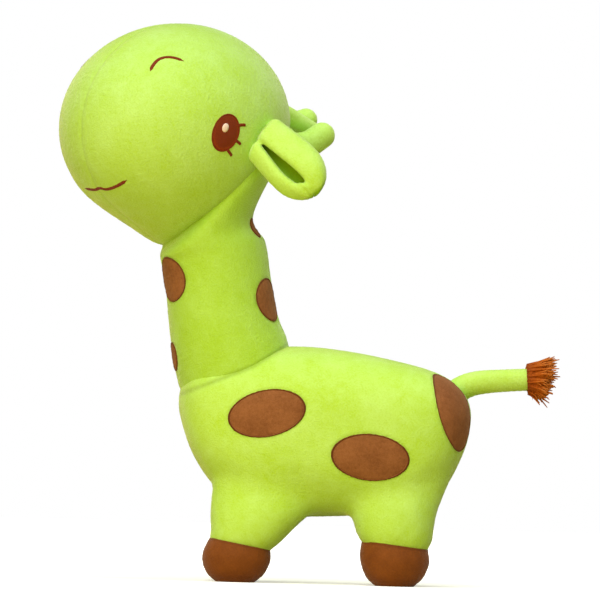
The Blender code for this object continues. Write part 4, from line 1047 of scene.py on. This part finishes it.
for name, seat, halves, tilt, target in spots:
    wide, tall = (half * MM for half in halves)
    spot, rim = pad(
        name.replace("spot", "pad"), seat, (wide, tall), math.radians(tilt), target, 1.0 * MM, 0.9 * MM / tall
    )
    rims.append(rim)
    nap(spot, 0.07 * MM)
    dress(spot, "torso", patch, "brown_plush", name, fill=0.4)
bpy.data.objects.remove(trunk)
# Painted shade on the body and neck round the rims of the spots.
shade_round_pads(body, rims)
shade_round_pads(neck, rims)

# Face: stitched lines by points in millimetres, right and up from their seats
NOSTRIL = ((-12.3, -11.9), (-9.6, -6.6), (-5.6, -2.0), (0, 0), (6.2, -0.8), (12.2, -3.45))
MOUTH = (
    (-20, -3.4), (-15, -2.6), (-10, -2.2), (-5, -1.4), (0, 0.1),
    (5, -1.1), (10, -0.6), (16, 0.7), (21.5, 2.3), (26, 3.9),
)
LASHES = (
    ((9.0, 4.2), (14.0, 4.8), (17.9, 4.5)),
    ((6.5, -4.6), (10.5, -7.0), (13.4, -9.0)),
    ((0.4, -10.8), (3.6, -14.2), (6.1, -17.0)),
)
EYE_TILT = math.radians(-31)
EYE, GLINT = (11.2 * MM, 14.1 * MM), (2.7 * MM, 3.4 * MM)

for word, flip in (("left", False), ("right", True)):
    seat = head_seat((79.5, -2.6), flip)
    eye = pad(f"eye_satin_{word}", seat, EYE, EYE_TILT, head, 0.8 * MM, 0.07, 0.4 * MM)[0]
    along, across = marks(eye, "along"), marks(eye, "across")
    lit_side = 0.5 + 0.5 * np.cos(np.arctan2(along, across + 1e-9) + math.radians(40))
    mark(eye, thread=along, ring=0.45 * lit_side * np.exp(-((marks(eye, "share") - 0.85) / 0.06) ** 2))
    dress(eye, "head", thread, "brown_thread", f"eye_{word}")
    point, out, right, up = seat
    glint_seat = (point + up * 3.6 * MM - right * 0.9 * MM, out, right, up)
    glint = pad(f"glint_satin_{word}", glint_seat, GLINT, EYE_TILT, head, 1.5 * MM, 0.0, 0.2 * MM, sides=40)[0]
    mark(glint, thread=0.0, ring=0.0)
    dress(glint, "head", glint_thread, "pale_thread", f"eye_glint_{word}")
    for number, line in enumerate(LASHES):
        lash = seam_line(f"lash_{number}_{word}", line, 2.3 * MM, seat, head, 0.6 * MM, 24)
        dress(lash, "head", thread, "brown_thread")
    seat = head_seat((51.5 if flip else 48.5, 44.7), flip)
    nostril = seam_line(f"nostril_stitch_{word}", NOSTRIL, 2.6 * MM, seat, head)
    dress(nostril, "head", thread, "brown_thread", f"nostril_{word}")
mouth = seam_line("mouth_stitch", MOUTH, 2.6 * MM, head_seat((2.5, -33.5)), head, steps=120)
dress(mouth, "head", thread, "brown_thread", "mouth")

for skin in (body, neck, head):
    nap(skin)

# Floor, light and background
REACH = 3
floor_mesh = bpy.data.meshes.new("floor")
floor_corners = [(-REACH, -REACH, 0), (REACH, -REACH, 0), (REACH, REACH, 0), (-REACH, REACH, 0)]
floor_mesh.from_pydata(floor_corners, [], [(0, 1, 2, 3)])
floor = bpy.data.objects.new("floor", floor_mesh)
bpy.context.scene.collection.objects.link(floor)
ground = Finish("pale_floor")
seen = ground.seen()
away = ground.add("VectorMath", {"operation": "LENGTH"}, "Value", i0=ground.place())
glow = seen * ground.span(away, 0.12, 0.7, 0.45, 1.0)
ground.feed(
    ground.shader,
    Base_Color=ground.mix(seen, (0.44, 0.37, 0.14), (0.90, 0.90, 0.90)),
    Roughness=0.9,
    Specular_IOR_Level=0.1,
    Emission_Strength=1.0,
    Emission_Color=ground.mix(glow, (0.0, 0.0, 0.0), (1.0, 1.0, 1.0)),
)
floor_mesh.materials.append(ground.owner)

# The world lights the toy with a warm sky and shows plain white behind it
world = bpy.data.worlds.new("studio")
bpy.context.scene.world = world
studio = Nodes(world)
sky = studio.tree.nodes["Background"]
studio.feed(sky.inputs, Color=(1.0, 0.94, 0.34, 1), Strength=0.30)
white = studio.add("Background", Color=(1, 1, 1, 1))
both = studio.add("MixShader", i0=studio.seen(), i1=Wire(studio, sky.outputs[0]), i2=white)
studio.feed(studio.tree.nodes["World Output"].inputs, i0=both)


def lamp(name, place, aim, size, power, colour=(1, 1, 1)):
    """A soft square lamp that faces a point."""
    light = bpy.data.lights.new(name, "AREA")
    light.size = size
    light.energy = power
    light.color = colour
    made = bpy.data.objects.new(name, light)
    bpy.context.scene.collection.objects.link(made)
    made.location = place
    made.rotation_euler = (Vector(aim) - Vector(place)).to_track_quat("-Z", "Y").to_euler()


lamp("key_light", (-0.42, -1.6, 1.72), (0, 0, 0.2), 1.4, 31.5)
lamp("top_light", (0.2, -0.1, 1.9), (0, 0, 0.2), 1.2, 16, (0.94, 0.98, 1.0))
lamp("warm_light", (-0.4, -1.0, 0.06), (0, 0, 0.25), 0.7, 9.0, (1.0, 0.74, 0.12))

bpy.context.scene.view_settings.view_transform = "Standard"
